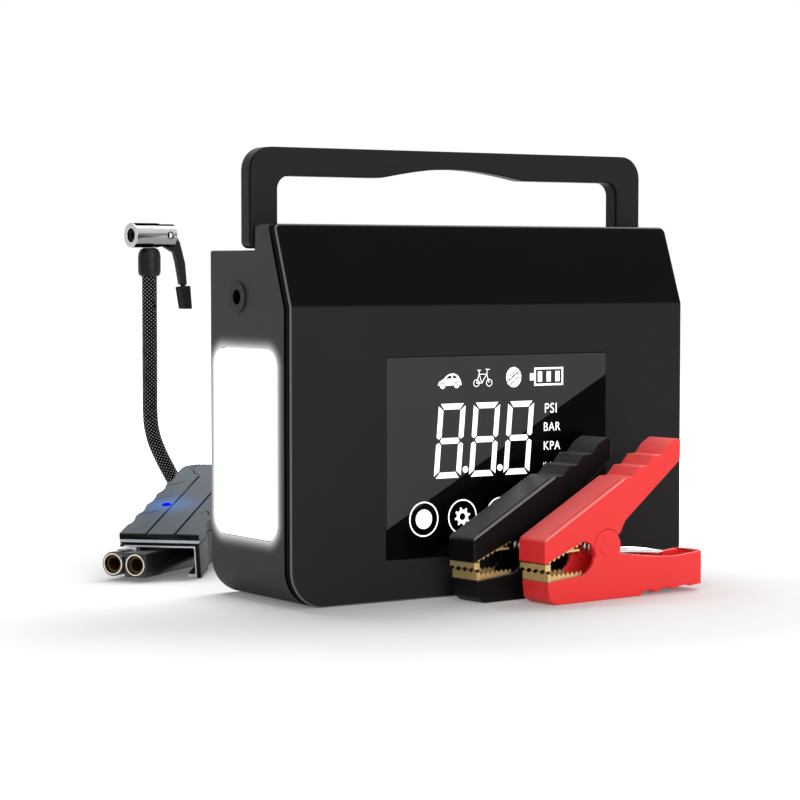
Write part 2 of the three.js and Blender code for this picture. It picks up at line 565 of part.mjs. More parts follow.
function airCylinder() {
  const { x, bore, wall, bottom, top, head } = CYLINDER;
  const outer = bar('z', x, CRANK.y, bore + wall, bottom, top, 20);
  const fins = [2, 5].map((drop) => bar('z', x, CRANK.y, bore + wall + 1.6, top - drop, top - drop + 1.2, 20));
  const outlet = bar('z', x, CRANK.y, AIR_PIPE.radius + 0.6, top - 0.5, top + 1.2, 10);
  return cut(join(outer, ...fins, outlet), bar('z', x, CRANK.y, bore, bottom - 1, top - head, 20),
    bar('z', x, CRANK.y, AIR_PIPE.radius - 1, top - head - 1, top + 3, 8));
}

function compressorFrame() {
  const x0 = CRANK.x + CRANK.thick;
  const x1 = x0 + FRAME.thick;
  const reach = REAR - REAR_PLATE - GAP;
  const plate = block(x0, x1, FRAME.front, reach, FRAME.bottom, FRAME.top);
  const foot = block(x0, x0 + 14, reach - 3, reach, FRAME.bottom, FRAME.top);
  const cylinderOuter = CYLINDER.bore + CYLINDER.wall;
  const saddleTop = CYLINDER.top - 8;
  const arm = block(CYLINDER.x - cylinderOuter - 1, x0 + 1, CRANK.y + cylinderOuter - 5, reach, saddleTop - 5,
    saddleTop);
  const seat = bar('z', CYLINDER.x, CRANK.y, cylinderOuter + GAP, saddleTop - 6, saddleTop + 1, 20);
  const stand = block(x0, x1, CRANK.y - 8, CRANK.y + 8, boardZ + BOARD + GAP, FRAME.bottom + 1);
  return cut(join(plate, foot, arm, stand), seat,
    bar('x', CRANK.y, CRANK.z, CRANK.axleRadius + GAP, x0 - 1, x1 + 5, 14),
    bar('x', CRANK.y, MOTOR_Z, MOTOR.nose + GAP, x0 - 1, x1 + 1, 16));
}

function compressorMotor() {
  const start = MOTOR_X + GAP;
  const can = bar('x', CRANK.y, MOTOR_Z, MOTOR.radius, start, start + MOTOR.length, 24);
  const nose = bar('x', CRANK.y, MOTOR_Z, MOTOR.nose, start - FRAME.thick + 0.6, start + 0.5, 16);
  const shaft = bar('x', CRANK.y, MOTOR_Z, MOTOR.shaftRadius, CRANK.x + 0.3, start, 10);
  const cap = bar('x', CRANK.y, MOTOR_Z, MOTOR.radius * 0.6, start + MOTOR.length - 0.5, start + MOTOR.length + 3, 16);
  return join(can, nose, shaft, cap);
}

function airPipe() {
  const start = [CYLINDER.x, CRANK.y, CYLINDER.top + 1.2 + GAP];
  const level = DECK_Z - WALL - AIR_PIPE.radius - GAP;
  const end = -SIDE + PORT.length + GAP;
  const points = [start, [start[0] - 0.6, start[1], level - 1.2], [start[0] - 4, start[1], level],
    [-50, 5, level - 1], [end + 22, PORT.y - 0.5, PORT.z + 5], [end + 8, PORT.y, PORT.z], [end, PORT.y, PORT.z]];
  return tubeAlong(points, AIR_PIPE.radius, 6, 20);
}

// ---------------------------------------------------------------- battery clamp
// x runs from the nose to the handles, y across the clamp, z up
const topAt = (x) => CLAMP.noseTop + CLAMP.topSlope * x;
const clampTip = CLAMP.length * 0.861;           // end of the upper handle
const clampLanding = clampTip - 6;               // the level end of the upper handle begins here
const ridgeEnd = clampTip - 10.6;
const ridgeStart = ridgeEnd - RIDGES.count * RIDGES.pitch;

function clampUpperOutline() {
  const points = [[0, CLAMP.mouthZ], [0.6, CLAMP.mouthZ]];
  points.push([15.3, 22.5], [19.5, 24.2], [22.8, 24.6], [25.6, 23.2], [27.1, 20.6]);
  points.push([CLAMP.pivotX, CLAMP.pivotZ], [41.7, 26.9], [44.7, 31.9], [clampTip - 0.8, 57.4], [clampTip, 60.2]);
  points.push([clampTip - 0.3, topAt(clampLanding) - 0.9], [clampLanding, topAt(clampLanding)]);
  for (let i = RIDGES.count - 1; i >= 0; i--) {
    const start = ridgeStart + i * RIDGES.pitch;
    points.push([start + RIDGES.pitch, topAt(start + RIDGES.pitch)], [start + RIDGES.tread, topAt(start) + 0.1]);
  }
  points.push([ridgeStart, topAt(ridgeStart)], [1.2, topAt(1.2)], [0, CLAMP.noseTop - 1]);
  return points;
}

function clampLowerOutline() {
  const end = CLAMP.length;
  const points = [[6, 0], [end * 0.58, 0]];
  const ripples = 3;
  const [start, pitch] = [end * 0.6, end * 0.11];
  for (let i = 0; i < ripples; i++) {
    const x = start + i * pitch;
    points.push([x, 1.5 + i * 0.3], [x + pitch * 0.4, 2 + i * 0.3], [x + pitch * 0.7, 0.7 + i * 0.6]);
  }
  points.push([end - 3.2, 2.4], [end - 1.4, 5], [end - 2, 11.2], [end, 11.5], [end, 16.4], [end * 0.8, 15.2]);
  points.push([end * 0.65, 16], [43.7, 18.4], [38, 18.6]);
  points.push([27.1, 18], [26.8, 15.6], [25.4, 13.6], [23.4, 11.9], [20.4, 10.8], [1.7, 9.2], [2.6, 2.4]);
  return points;
}

const clampHalf = CLAMP.width / 2;
const innerHalf = clampHalf - CLAMP.wall;
const springEnd = CLAMP.length * 0.775;          // the spring's loop reaches this far back
const springLow = 16.2;

// the rounded end of a handle, seen from above
function clampPlan(end) {
  const [nose, high] = [-20, CLAMP.noseTop * 4];
  return prism(roundedRect(end - nose, CLAMP.width + 2, CLAMP.endRadius + 1, (end + nose) / 2, 0), 'z', -1, high, 6);
}

function clampUpperShell() {
  const body = prism(clampUpperOutline(), 'y', -clampHalf, clampHalf).intersect(clampPlan(clampTip));
  const drop = CLAMP.wall * 1.25;
  const underRidges = drop + RIDGES.tread / 2;
  const hollowEnd = clampTip - 3;
  const hollow = prism([[CLAMP.wall, 0], [CLAMP.wall, topAt(CLAMP.wall) - drop],
    [ridgeStart - 2, topAt(ridgeStart - 2) - drop], [ridgeStart, topAt(ridgeStart) - underRidges],
    [hollowEnd, topAt(hollowEnd) - underRidges - 1.6], [hollowEnd, 0]], 'y', -innerHalf, innerHalf);
  const lobe = bar('y', CLAMP.pivotX, CLAMP.pivotZ, CLAMP.lobe + GAP, -clampHalf - 1, clampHalf + 1, 22);
  const ears = [-1, 1].map((side) => {
    const ends = [side * (innerHalf - GAP), side * (innerHalf - GAP - CLAMP.ear)];
    const [y0, y1] = [Math.min(...ends), Math.max(...ends)];
    const web = [[28.6, 24], [41, 25], [41, topAt(41) - 1.5], [28.6, topAt(28.6) - 1.5]];
    return join(prism(web, 'y', y0, y1), bar('y', CLAMP.pivotX, CLAMP.pivotZ, CLAMP.lobe - 0.6, y0, y1, 14));
  });
  const bore = bar('y', CLAMP.pivotX, CLAMP.pivotZ, CLAMP.pin + GAP, -clampHalf, clampHalf, 12);
  return cut(join(cut(body, hollow, lobe), ...ears), bore);
}

// the pin goes in from the far side, and a closed boss covers its end on the near side
const pinNear = -clampHalf + CLAMP.bossRise + GAP;
const pinFar = clampHalf + CLAMP.bossRise;

function clampLowerShell() {
  const body = prism(clampLowerOutline(), 'y', -clampHalf, clampHalf).intersect(clampPlan(CLAMP.length));
  const floor = CLAMP.wall + 0.4;
  const [end, high] = [CLAMP.length - CLAMP.endWall, CLAMP.noseTop + 14];
  const ramp = CLAMP.length * 0.56;
  const hollow = prism([[CLAMP.wall + 1.9, floor], [ramp, floor], [ramp + 4, floor + 2.2], [end, floor + 3],
    [end, high], [CLAMP.wall + 1.9, high]], 'y', -innerHalf, innerHalf);
  const lobe = bar('y', CLAMP.pivotX, CLAMP.pivotZ, CLAMP.lobe, -clampHalf, clampHalf, 22);
  const boss = bar('y', CLAMP.pivotX, CLAMP.pivotZ, CLAMP.boss, -clampHalf - CLAMP.bossRise, pinFar, 20);
  const channel = prism([[10, floor], [ramp, floor], [ramp, high], [10, high]], 'y', -innerHalf, innerHalf);
  const seat = block(springEnd - 7, springEnd - 4, -innerHalf - 0.5, innerHalf + 0.5, floor,
    springLow + 0.4 - CLAMP.wire - GAP);
  const sides = cut(join(body, lobe, boss), hollow, channel);
  const bore = bar('y', CLAMP.pivotX, CLAMP.pivotZ, CLAMP.pin + GAP, pinNear - GAP, pinFar + 1, 12);
  return cut(join(sides, seat), bore);
}

// zigzag line of teeth between two points, its tips on the line and its roots one depth away
function toothLine(x0, z0, x1, z1, depth) {
  const count = Math.max(2, Math.round(Math.hypot(x1 - x0, z1 - z0) / CLAMP.toothPitch));
  const points = [];
  for (let i = 0; i <= count * 2; i++) {
    const t = i / (count * 2);
    points.push([x0 + (x1 - x0) * t, z0 + (z1 - z0) * t + (i % 2 ? depth : 0)]);
  }
  return points;
}

const JAW_SPLIT = 13.1;           // height of the line where the closed jaws meet

function clampJaw(direction) {
  const upper = direction > 0;
  const plateHalf = innerHalf - GAP;
  const meet = JAW_SPLIT + direction * GAP / 2;
  const depth = direction * CLAMP.toothDepth;
  const back = upper ? CLAMP.mouthZ - GAP : 9.2 + GAP;
  const front = [0, 1, 2, 3, 4, 5, 6, 7, 8].map((i) => [-clampHalf + 0.3 + i * (CLAMP.width - 0.6) / 8,
    meet + (i % 2 ? CLAMP.toothDepth * 0.7 : 0)]);
  const nose = prism([...front, [clampHalf - 0.3, back], [-clampHalf + 0.3, back]], 'x', upper ? 0.5 : 1.9, 3.4);
  const teeth = upper ? toothLine(2.4, meet + 2.1, 22, 23, depth) : toothLine(2.4, meet - 0.4, 22, 12.6, depth);
  const rear = upper ? [[22, 27], [CLAMP.wall + GAP + 0.3, 20.5], [CLAMP.wall + GAP + 0.3, back], [1.9, back]]
    : [[22, 5], [4.3, 5], [4.3, back], [2.4, back]];
  const plates = [-1, 1].map((side) => {
    const ends = [side * plateHalf, side * (plateHalf - CLAMP.jawPlate)];
    return prism([...teeth, ...rear], 'y', Math.min(...ends), Math.max(...ends));
  });
  const bridge = upper ? block(4, 21, -plateHalf, plateHalf, 20.6, 21.6) : block(6, 21, -plateHalf, plateHalf, 5, 6);
  const sloped = upper ? cut(bridge, block(0, 30, -1, 1, 0, 1)) : bridge;
  return join(nose, ...plates, sloped);
}

function clampSpring() {
  const { wire } = CLAMP;
  const coilHalf = innerHalf - GAP - CLAMP.ear - GAP;
  const outer = CLAMP.pin + GAP + 2 * wire + 0.5;
  const coil = cut(bar('y', CLAMP.pivotX, CLAMP.pivotZ, outer, -coilHalf, coilHalf, 16),
    bar('y', CLAMP.pivotX, CLAMP.pivotZ, CLAMP.pin + GAP, -coilHalf - 1, coilHalf + 1, 12));
  const legHalf = coilHalf - wire;
  const spread = innerHalf - GAP - wire;
  const knee = CLAMP.pivotX + 10;
  const leg = [[CLAMP.pivotX + 1, legHalf, CLAMP.pivotZ - outer + wire], [knee, legHalf, springLow + 2.1],
    [springEnd - 15, spread, springLow + 1.9], [springEnd - 5.5, spread * 0.94, springLow + 0.9],
    [springEnd - 1.2, spread * 0.5, springLow + 0.2]];
  const nearLeg = leg.map(([x, y, z]) => [x, -y, z]);
  const points = [...nearLeg, [springEnd, 0, springLow], ...leg.reverse()];
  return join(coil, toSolid(tubeAlong(points, wire, 6, 28)));
}

function clampPin() {
  return bar('y', CLAMP.pivotX, CLAMP.pivotZ, CLAMP.pin, pinNear, pinFar, 12);
}

function buildClamp(colour, shellFinish, [x, y]) {
  const clamp = new THREE.Group();
  clamp.position.set(x, y, 0);
  clamp.rotation.z = THREE.MathUtils.degToRad(CLAMP_TURN);
  place(clamp, `${colour}_clamp_upper_shell`, clampUpperShell(), shellFinish);
  place(clamp, `${colour}_clamp_lower_shell`, clampLowerShell(), shellFinish);
  place(clamp, `${colour}_clamp_upper_jaw`, clampJaw(1), FINISH.brass);
  place(clamp, `${colour}_clamp_lower_jaw`, clampJaw(-1), FINISH.brass);
  place(clamp, `${colour}_clamp_pin`, clampPin(), FINISH.steel);
  place(clamp, `${colour}_clamp_spring`, clampSpring(), FINISH.chrome);
  return clamp;
}

// ---------------------------------------------------------------- lead module
// x to the right, y from the front face to the rear end, z up
function leadOutline(margin) {
  const { width, length, scallop, scallops, endRadius } = LEAD;
  const half = width / 2 - margin;
  const [start, end] = [12, length - 14];
  const pitch = (end - start) / scallops;
  const right = [[half, margin], [half, start]];
  for (let i = 0; i < scallops; i++) {
    const y = start + i * pitch;
    right.push([half - scallop, y + pitch * 0.2], [half - scallop, y + pitch * 0.45], [half, y + pitch * 0.85]);
  }
  const arc = [0, 30, 60, 90].map((degrees) => {
    const angle = THREE.MathUtils.degToRad(degrees);
    const [across, along] = [half - endRadius, length - margin - endRadius];
    return [across + endRadius * Math.cos(angle), along + endRadius * Math.sin(angle)];
  });
  right.push(...arc);
  const left = right.map(([x, y]) => [-x, y]).reverse();
  return [...right, ...left];
}

const leadSplit = LEAD.height - LEAD.topShare;

function recessTool(z0) {
  const { recessHalf, recessDepth, recessHeight, sill, width } = LEAD;
  return join(block(-recessHalf, recessHalf, -1, recessDepth, LEAD.wall, recessHeight),
    block(-width / 2 - 1, sill, -1, recessDepth - 12, z0, recessHeight),
    block(-recessHalf, sill, -1, recessDepth, z0, recessHeight));
}

function leadTop() {
  const skin = prism(leadOutline(0), 'z', leadSplit + GAP, LEAD.height);
  const hollow = prism(leadOutline(LEAD.wall), 'z', leadSplit - 1, LEAD.height - LEAD.wall);
  const seat = bar('z', LED.x, LED.y, LED.radius + GAP, LEAD.height - 4, LEAD.height + 1, 14);
  return cut(skin, hollow, seat);
}

function leadBase() {
  const skin = prism(leadOutline(0), 'z', 0, leadSplit);
  const hollow = prism(leadOutline(LEAD.wall), 'z', LEAD.wall, leadSplit + 1);
  const sideReach = LEAD.width / 2 - 0.5;
  const wallAround = block(-sideReach, sideReach, 0.5, LEAD.recessDepth + LEAD.wall, 0.5, leadSplit);
  const posts = [[-8, 44], [8, 44], [0, 88]].map(([x, y]) => bar('z', x, y, 2.2, LEAD.wall - 0.2, 9.2, 10));
  return cut(join(cut(skin, hollow), wallAround.intersect(skin), ...posts), recessTool(-1));
}

function leadBoard() {
  const start = 9.2 + GAP;
  const boardHalf = LEAD.width / 2 - LEAD.wall - 3.5;
  const [near, far] = [LEAD.recessDepth + LEAD.wall + GAP, LEAD.length - LEAD.endRadius - LEAD.wall];
  const plate = block(-boardHalf, boardHalf, near, far, start, start + BOARD);
  const relay = block(-boardHalf + 3, boardHalf - 3, far - 32, far - 12, start + BOARD - 0.1, leadSplit + 1.4);
  const post = bar('z', LED.x, LED.y, 1.2, start + BOARD - 0.1, LEAD.height - LEAD.wall - GAP - 1.2, 10);
  return join(plate, relay, post);
}

function leadLed() {
  const from = LEAD.height - LEAD.wall - 1.2;
  return bar('z', LED.x, LED.y, LED.radius, from, LEAD.height + 0.2, 14);
}

const leadGroup = new THREE.Group();
leadGroup.position.set(...LEAD.at, 0);
leadGroup.rotation.z = THREE.MathUtils.degToRad(LEAD.turn);
const leadTilt = new THREE.Group();
leadTilt.rotation.x = THREE.MathUtils.degToRad(LEAD.tilt);
leadGroup.add(leadTilt);

// plug: x across, y along it with the barrel openings at 0, z up
function plugBody() {
  const { width, height, length, bore, boreDepth, pitch } = PLUG;
  const middle = height / 2;
  const round = width / 2 - height / 2;
  const barrelLength = 12;
  const barrels = join(bar('y', -round, middle, height / 2, 0, barrelLength + 1, 24),
    block(round - height / 2, round + height / 2, 0, barrelLength + 1, 0, height));
  const grip = block(-width / 2, width / 2, barrelLength, length, 0.4, height - 0.4);
  const web = block(-round, round, 2, barrelLength + 1, 1.6, height - 1.6);
  const bores = [-1, 1].map((side) => bar('y', side * pitch / 2, middle, bore, -1, boreDepth, 20));
  return cut(join(barrels, grip, web), ...bores);
}

function plugContact(side) {
  const { pitch, height, bore, boreDepth, contactWall } = PLUG;
  const outer = bore - GAP;
  const barrel = bar('y', side * pitch / 2, height / 2, outer, 1.2, boreDepth - GAP, 20);
  return cut(barrel, bar('y', side * pitch / 2, height / 2, outer - contactWall, 0, boreDepth - 3, 16));
}

const plugGroup = new THREE.Group();
plugGroup.position.set(...PLUG.at, PLUG.z);
plugGroup.rotation.z = THREE.MathUtils.degToRad(PLUG.turn);
leadGroup.add(plugGroup);

// ---------------------------------------------------------------- air hose and lever chuck
// the hose's lower coupling lies under the tilted lead module, in line with it
const leadTurn = THREE.MathUtils.degToRad(LEAD.turn);
const alongLead = (across, along, z) => [
  LEAD.at[0] + across * Math.cos(leadTurn) - along * Math.sin(leadTurn),
  LEAD.at[1] + across * Math.sin(leadTurn) + along * Math.cos(leadTurn), z];

const couplingGroup = new THREE.Group();
couplingGroup.position.set(...alongLead(COUPLING.across, COUPLING.at, COUPLING.radius + 0.1));
couplingGroup.rotation.z = leadTurn;

function hoseCoupling() {
  const { radius, length, noseRadius, nose } = COUPLING;
  const sleeve = bar('y', 0, 0, radius, -length / 2, length / 2, 14);
  const stub = bar('y', 0, 0, noseRadius, -length / 2 - nose, -length / 2 + 1, 14);
  const bore = bar('y', 0, 0, noseRadius - 1.4, -length / 2 - nose - 1, length / 2 - 6, 10);
  return cut(join(sleeve, stub), bore);
}

// route of the hose from the coupling to the chuck, as (across, along, z) of the lead module
const couplingEnd = COUPLING.at + COUPLING.length / 2 + GAP;
const HOSE_STAND = [-41, 119.5];
const HOSE_ROUTE = [
  [-8, couplingEnd, 6.5], [-8.5, 90.7, 6.9], [-10.1, 98.3, 8.4], [-12.6, 104.9, 10.9], [-16.1, 111, 14.5],
  [-20, 115.8, 19], [-24.3, 119.3, 24.3], [-28.8, 121.4, 30.5], [-32.8, 122.1, 37], [-36.3, 121.8, 43.8],
  [-39.1, 120.8, 51.1], [-40.6, 119.8, 58.6], [-41, 119.5, 66.4], [-41, 119.5, 78], [-41, 119.5, 91],
  [-41, 119.5, 105], [-41, 119.5, 119], [-41, 119.5, HOSE_TOP],
];

const hosePoints = HOSE_ROUTE.map(([across, along, z]) => alongLead(across, along, z));

const chuckGroup = new THREE.Group();
chuckGroup.position.set(...alongLead(...HOSE_STAND, 0));
chuckGroup.rotation.z = THREE.MathUtils.degToRad(-CHUCK.turn);

// chuck frame: the hose comes up the z axis, and the bore that goes on the valve opens towards -x
const chuckFront = -CHUCK.frontReach;
const chuckBack = chuckFront + CHUCK.length;
const leverX = chuckBack - CHUCK.hingeFromEnd;
const ferruleTop = HOSE_TOP + GAP + FERRULE.length;

function hoseFerrule() {
  const { radius, bottomRadius, length } = FERRULE;
  const base = HOSE_TOP + GAP;
  const profile = [[0, base], [bottomRadius, base], [radius, base + 2.2], [radius + 0.1, base + length * 0.5],
    [radius - 0.2, base + length - 2], [radius - 0.9, base + length], [0, base + length]];
  const geometry = new THREE.LatheGeometry(profile.map(([r, z]) => new THREE.Vector2(r, z)), 20);
  geometry.rotateX(Math.PI / 2);
  return toSolid(geometry);
}

function chuckBody() {
  const { radius, z, bore, boreDepth, slot, slotLength } = CHUCK;
  const barrel = bar('x', 0, z, radius, chuckFront, chuckBack, 22);
  const neck = bar('z', 0, 0, FERRULE.neck, ferruleTop + GAP, z, 16);
  const leverSlot = block(chuckBack - slotLength, chuckBack + 1, -slot / 2, slot / 2, z - radius - 1, z + radius + 1);
  return cut(join(barrel, neck), bar('x', 0, z, bore, chuckFront - 1, chuckFront + boreDepth, 20), leverSlot,
    bar('y', leverX, z, LEVER.pin + GAP, -radius - 1, radius + 1, 12));
}

function chuckSeal() {
  const outer = CHUCK.bore - GAP;
  return cut(bar('x', 0, CHUCK.z, outer, chuckFront + 1, chuckFront + CHUCK.boreDepth - GAP, 20),
    bar('x', 0, CHUCK.z, outer - 1.2, chuckFront, chuckFront + CHUCK.boreDepth - 2, 14));
}

// the lever in side view, as (x, z) from the hinge pin
const LEVER_OUTLINE = [[-2.6, -2.4], [-3.4, 0.4], [-2, 2.8], [1, 3.4], [3.4, 1.8], [6.6, -0.8], [8.3, -3.4],
  [11.3, -13.5], [12.3, -LEVER.grip], [9, -LEVER.grip], [6.8, -13], [5.4, -8.4], [0.6, -6]];
const GRIP_OUTLINE = [[8.2, -LEVER.grip - 1], [13.4, -LEVER.grip - 0.4], [14.4, -35.8], [10.2, -35.8]];
const tangStart = leverX + LEVER.tang;
const tangEnd = tangStart + LEVER.tangWidth;

function chuckLever() {
  const blade = prism(shiftShape(LEVER_OUTLINE, leverX, CHUCK.z), 'y', -LEVER.thick / 2, LEVER.thick / 2);
  const tang = block(tangStart, tangEnd, -1.1, 1.1, CHUCK.z - LEVER.tangLow, CHUCK.z - LEVER.grip + 1);
  return cut(join(blade, tang), bar('y', leverX, CHUCK.z, LEVER.pin + GAP, -5, 5, 12));
}

function leverGrip() {
  const half = 3.1;
  const pad = prism(shiftShape(GRIP_OUTLINE, leverX, CHUCK.z), 'y', -half, half);
  return cut(pad, block(tangStart - GAP, tangEnd + GAP, -1.1 - GAP, 1.1 + GAP, CHUCK.z - LEVER.tangLow - GAP, CHUCK.z));
}

function leverPin() {
  return bar('y', leverX, CHUCK.z, LEVER.pin, -CHUCK.radius * 0.86, CHUCK.radius * 0.86, 12);
}

// ---------------------------------------------------------------- assembly
place(part, 'main_shell', mainShell(), FINISH.shell);
place(part, 'front_cover', frontCover(), FINISH.cover);
place(part, 'rear_cover', rearCover(), FINISH.shell);
SCREW_PLACES.forEach((at, i) => place(part, `rear_screw_${i + 1}`, rearScrew(at), FINISH.steel));
place(part, 'display_window', displayWindow(), FINISH.glass);
place(part, 'display_board', displayBoard(), FINISH.board);
place(part, 'lamp_lens', lampLens(), FINISH.lamp);
place(part, 'lamp_board', lampBoard(), FINISH.nylon);
place(part, 'air_port', airPort(), FINISH.dark);
place(part, 'output_socket', outputSocket(), FINISH.dark);
place(part, 'socket_flap', socketFlap(), FINISH.rubber);
place(part, 'socket_flap_pin', flapPin(), FINISH.dark);
place(part, 'usb_socket', usbSocket(), FINISH.dark);
place(part, 'folding_handle', foldingHandle(), FINISH.dark);
place(part, 'handle_pin_left', hingePin(-1), FINISH.steel);
place(part, 'handle_pin_right', hingePin(1), FINISH.steel);
place(part, 'battery_tray', batteryTray(), FINISH.nylon);
for (let i = 0; i < CELL.count; i++) place(part, `battery_cell_${i + 1}`, batteryCell(i), FINISH.cell);
place(part, 'main_board', mainBoard(), FINISH.board);
place(part, 'compressor_frame', compressorFrame(), FINISH.steel);
place(part, 'compressor_motor', compressorMotor(), FINISH.steel);
place(part, 'motor_pinion', motorPinion(), FINISH.brass);
place(part, 'crank_gear', crankGear(), FINISH.nylon);
place(part, 'piston', piston(), FINISH.dark);
place(part, 'air_cylinder', airCylinder(), FINISH.steel);
place(part, 'air_pipe', airPipe(), FINISH.rubber);

part.add(buildClamp('red', FINISH.red, RED_CLAMP_AT));
part.add(buildClamp('black', FINISH.black, BLACK_CLAMP_AT));

place(leadTilt, 'lead_module_top', leadTop(), FINISH.grey);
place(leadTilt, 'lead_module_base', leadBase(), FINISH.grey);
place(leadTilt, 'lead_module_board', leadBoard(), FINISH.board);
place(leadTilt, 'lead_module_led', leadLed(), FINISH.led);
place(plugGroup, 'plug_body', plugBody(), FINISH.black);
place(plugGroup, 'plug_contact_left', plugContact(-1), FINISH.brass);
place(plugGroup, 'plug_contact_right', plugContact(1), FINISH.brass);
part.add(leadGroup);

place(couplingGroup, 'hose_coupling', hoseCoupling(), FINISH.chrome);
part.add(couplingGroup);
place(part, 'air_hose', tubeAlong(hosePoints, HOSE.radius, HOSE.sides, 44), FINISH.braid);
place(chuckGroup, 'hose_ferrule', hoseFerrule(), FINISH.rubber);
place(chuckGroup, 'chuck_body', chuckBody(), FINISH.chrome);
place(chuckGroup, 'chuck_seal', chuckSeal(), FINISH.rubber);
place(chuckGroup, 'chuck_lever', chuckLever(), FINISH.black);
place(chuckGroup, 'chuck_lever_grip', leverGrip(), FINISH.rubber);
place(chuckGroup, 'chuck_lever_pin', leverPin(), FINISH.steel);
part.add(chuckGroup);

export default part;
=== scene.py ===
"""Looks of the jump starter pack: the main unit with its handle, the two battery clamps, the lead
module with its plug, and the air hose with its lever chuck.

Lengths are millimetres unless a name says otherwise; a mesh turns into metres when its piece is made.
"""

import json
import math
from functools import partialmethod

import bmesh
import bpy
from mathutils import Matrix, Vector

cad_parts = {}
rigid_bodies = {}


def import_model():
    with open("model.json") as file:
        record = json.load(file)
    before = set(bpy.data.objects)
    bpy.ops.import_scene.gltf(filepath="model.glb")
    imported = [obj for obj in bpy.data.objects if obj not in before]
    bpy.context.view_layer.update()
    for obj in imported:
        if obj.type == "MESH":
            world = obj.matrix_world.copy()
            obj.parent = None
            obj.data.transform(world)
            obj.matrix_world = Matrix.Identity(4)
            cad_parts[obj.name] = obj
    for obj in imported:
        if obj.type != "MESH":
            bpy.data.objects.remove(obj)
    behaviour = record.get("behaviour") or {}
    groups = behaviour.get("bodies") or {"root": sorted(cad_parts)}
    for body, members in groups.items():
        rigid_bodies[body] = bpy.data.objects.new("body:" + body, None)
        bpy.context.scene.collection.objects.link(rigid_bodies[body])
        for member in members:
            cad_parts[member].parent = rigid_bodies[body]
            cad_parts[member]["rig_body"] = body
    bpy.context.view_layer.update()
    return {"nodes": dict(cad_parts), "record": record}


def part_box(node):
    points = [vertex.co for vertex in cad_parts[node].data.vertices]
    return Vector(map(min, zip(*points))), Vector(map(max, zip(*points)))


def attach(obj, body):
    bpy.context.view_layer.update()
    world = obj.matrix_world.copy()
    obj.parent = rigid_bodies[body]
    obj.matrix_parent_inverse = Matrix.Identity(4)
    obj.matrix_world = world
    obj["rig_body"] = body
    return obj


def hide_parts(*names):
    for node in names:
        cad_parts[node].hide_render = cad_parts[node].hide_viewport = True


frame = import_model()
nodes = frame["nodes"]
scene = bpy.context.scene
MM = 0.001
SLOT_OF = {part["node"]: part["material_slot"] for part in frame["record"]["subparts"]}


def corners_of(node):
    """Lowest and highest corner of a node, in millimetres."""
    low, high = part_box(node)
    return low / MM, high / MM


def add_object(name, data):
    made = bpy.data.objects.new(name, data)
    scene.collection.objects.link(made)
    return made


# ------------------------------------------------------------------ camera
CAMERA = {"at": (-614.8, -878.2, 137.0), "turn": 0.59, "dip": 0.054, "lens": 113.3, "sensor": 36.0}


def make_camera():
    data = bpy.data.cameras.new("camera")
    data.lens = CAMERA["lens"]
    data.sensor_width = CAMERA["sensor"]
    data.clip_start = 0.05
    data.clip_end = 40
    camera = add_object("camera", data)
    camera.location = Vector(CAMERA["at"]) * MM
    camera.rotation_euler = (math.pi / 2 - CAMERA["dip"], 0, -CAMERA["turn"])
    scene.camera = camera


make_camera()


# ------------------------------------------------------------------ outlines and meshes
def arc(centre, radius, start, end, steps):
    """Points of an arc, its angles in degrees."""
    angles = [math.radians(start + (end - start) * step / steps) for step in range(steps + 1)]
    return [(centre[0] + radius * math.cos(angle), centre[1] + radius * math.sin(angle)) for angle in angles]


def circle(centre, radius, steps=40, stretch=1.0):
    return [(centre[0] + radius * math.cos(2 * math.pi * i / steps),
             centre[1] + radius * stretch * math.sin(2 * math.pi * i / steps)) for i in range(steps)]


def filleted(corners, steps=6):
    """A polygon given as (a, b, radius) corners, as points with its corners rounded."""
    points = []
    count = len(corners)
    for i, (a, b, radius) in enumerate(corners):
        here = Vector((a, b))
        if radius <= 0:
            points.append((a, b))
            continue
        back = (Vector(corners[i - 1][:2]) - here).normalized()
        ahead = (Vector(corners[(i + 1) % count][:2]) - here).normalized()
        half = back.angle(ahead) / 2
        centre = here + (back + ahead).normalized() * (radius / math.sin(half))
        start = here + back * (radius / math.tan(half)) - centre
        end = here + ahead * (radius / math.tan(half)) - centre
        first = math.atan2(start.y, start.x)
        swing = (math.atan2(end.y, end.x) - first + math.pi) % (2 * math.pi) - math.pi
        for step in range(steps + 1):
            angle = first + swing * step / steps
            points.append((centre.x + radius * math.cos(angle), centre.y + radius * math.sin(angle)))
    return points


def rectangle(width, height, centre=(0.0, 0.0)):
    a, b = centre
    w, h = width / 2, height / 2
    return [(a - w, b - h), (a + w, b - h), (a + w, b + h), (a - w, b + h)]


# the outline's two axes and the depth's, by the axis that a shape runs along
DRAWN_ON = {"x": (1, 2, 0), "y": (0, 2, 1), "z": (0, 1, 2)}


def add_ring(build, outline, axis, level):
    """Vertices of an outline that stands at a level of an axis."""
    first, second, depth = DRAWN_ON[axis]
    ring = []
    for a, b in outline:
        place = [0.0, 0.0, 0.0]
        place[first], place[second], place[depth] = a, b, level
        ring.append(build.verts.new(place))
    return ring


def add_wall(build, low, high):
    """Faces between two rings, of which either may be a single point."""
    for i in range(max(len(low), len(high))):
        corners = [low[(i - 1) % len(low)], low[i % len(low)], high[i % len(high)], high[(i - 1) % len(high)]]
        corners = list(dict.fromkeys(corners))
        if len(corners) > 2:
            build.faces.new(corners)


def to_mesh(build, name="work"):
    mesh = bpy.data.meshes.new(name)
    build.to_mesh(mesh)
    build.free()
    return mesh


def closed_mesh(build):
    bmesh.ops.recalc_face_normals(build, faces=build.faces)
    return to_mesh(build)


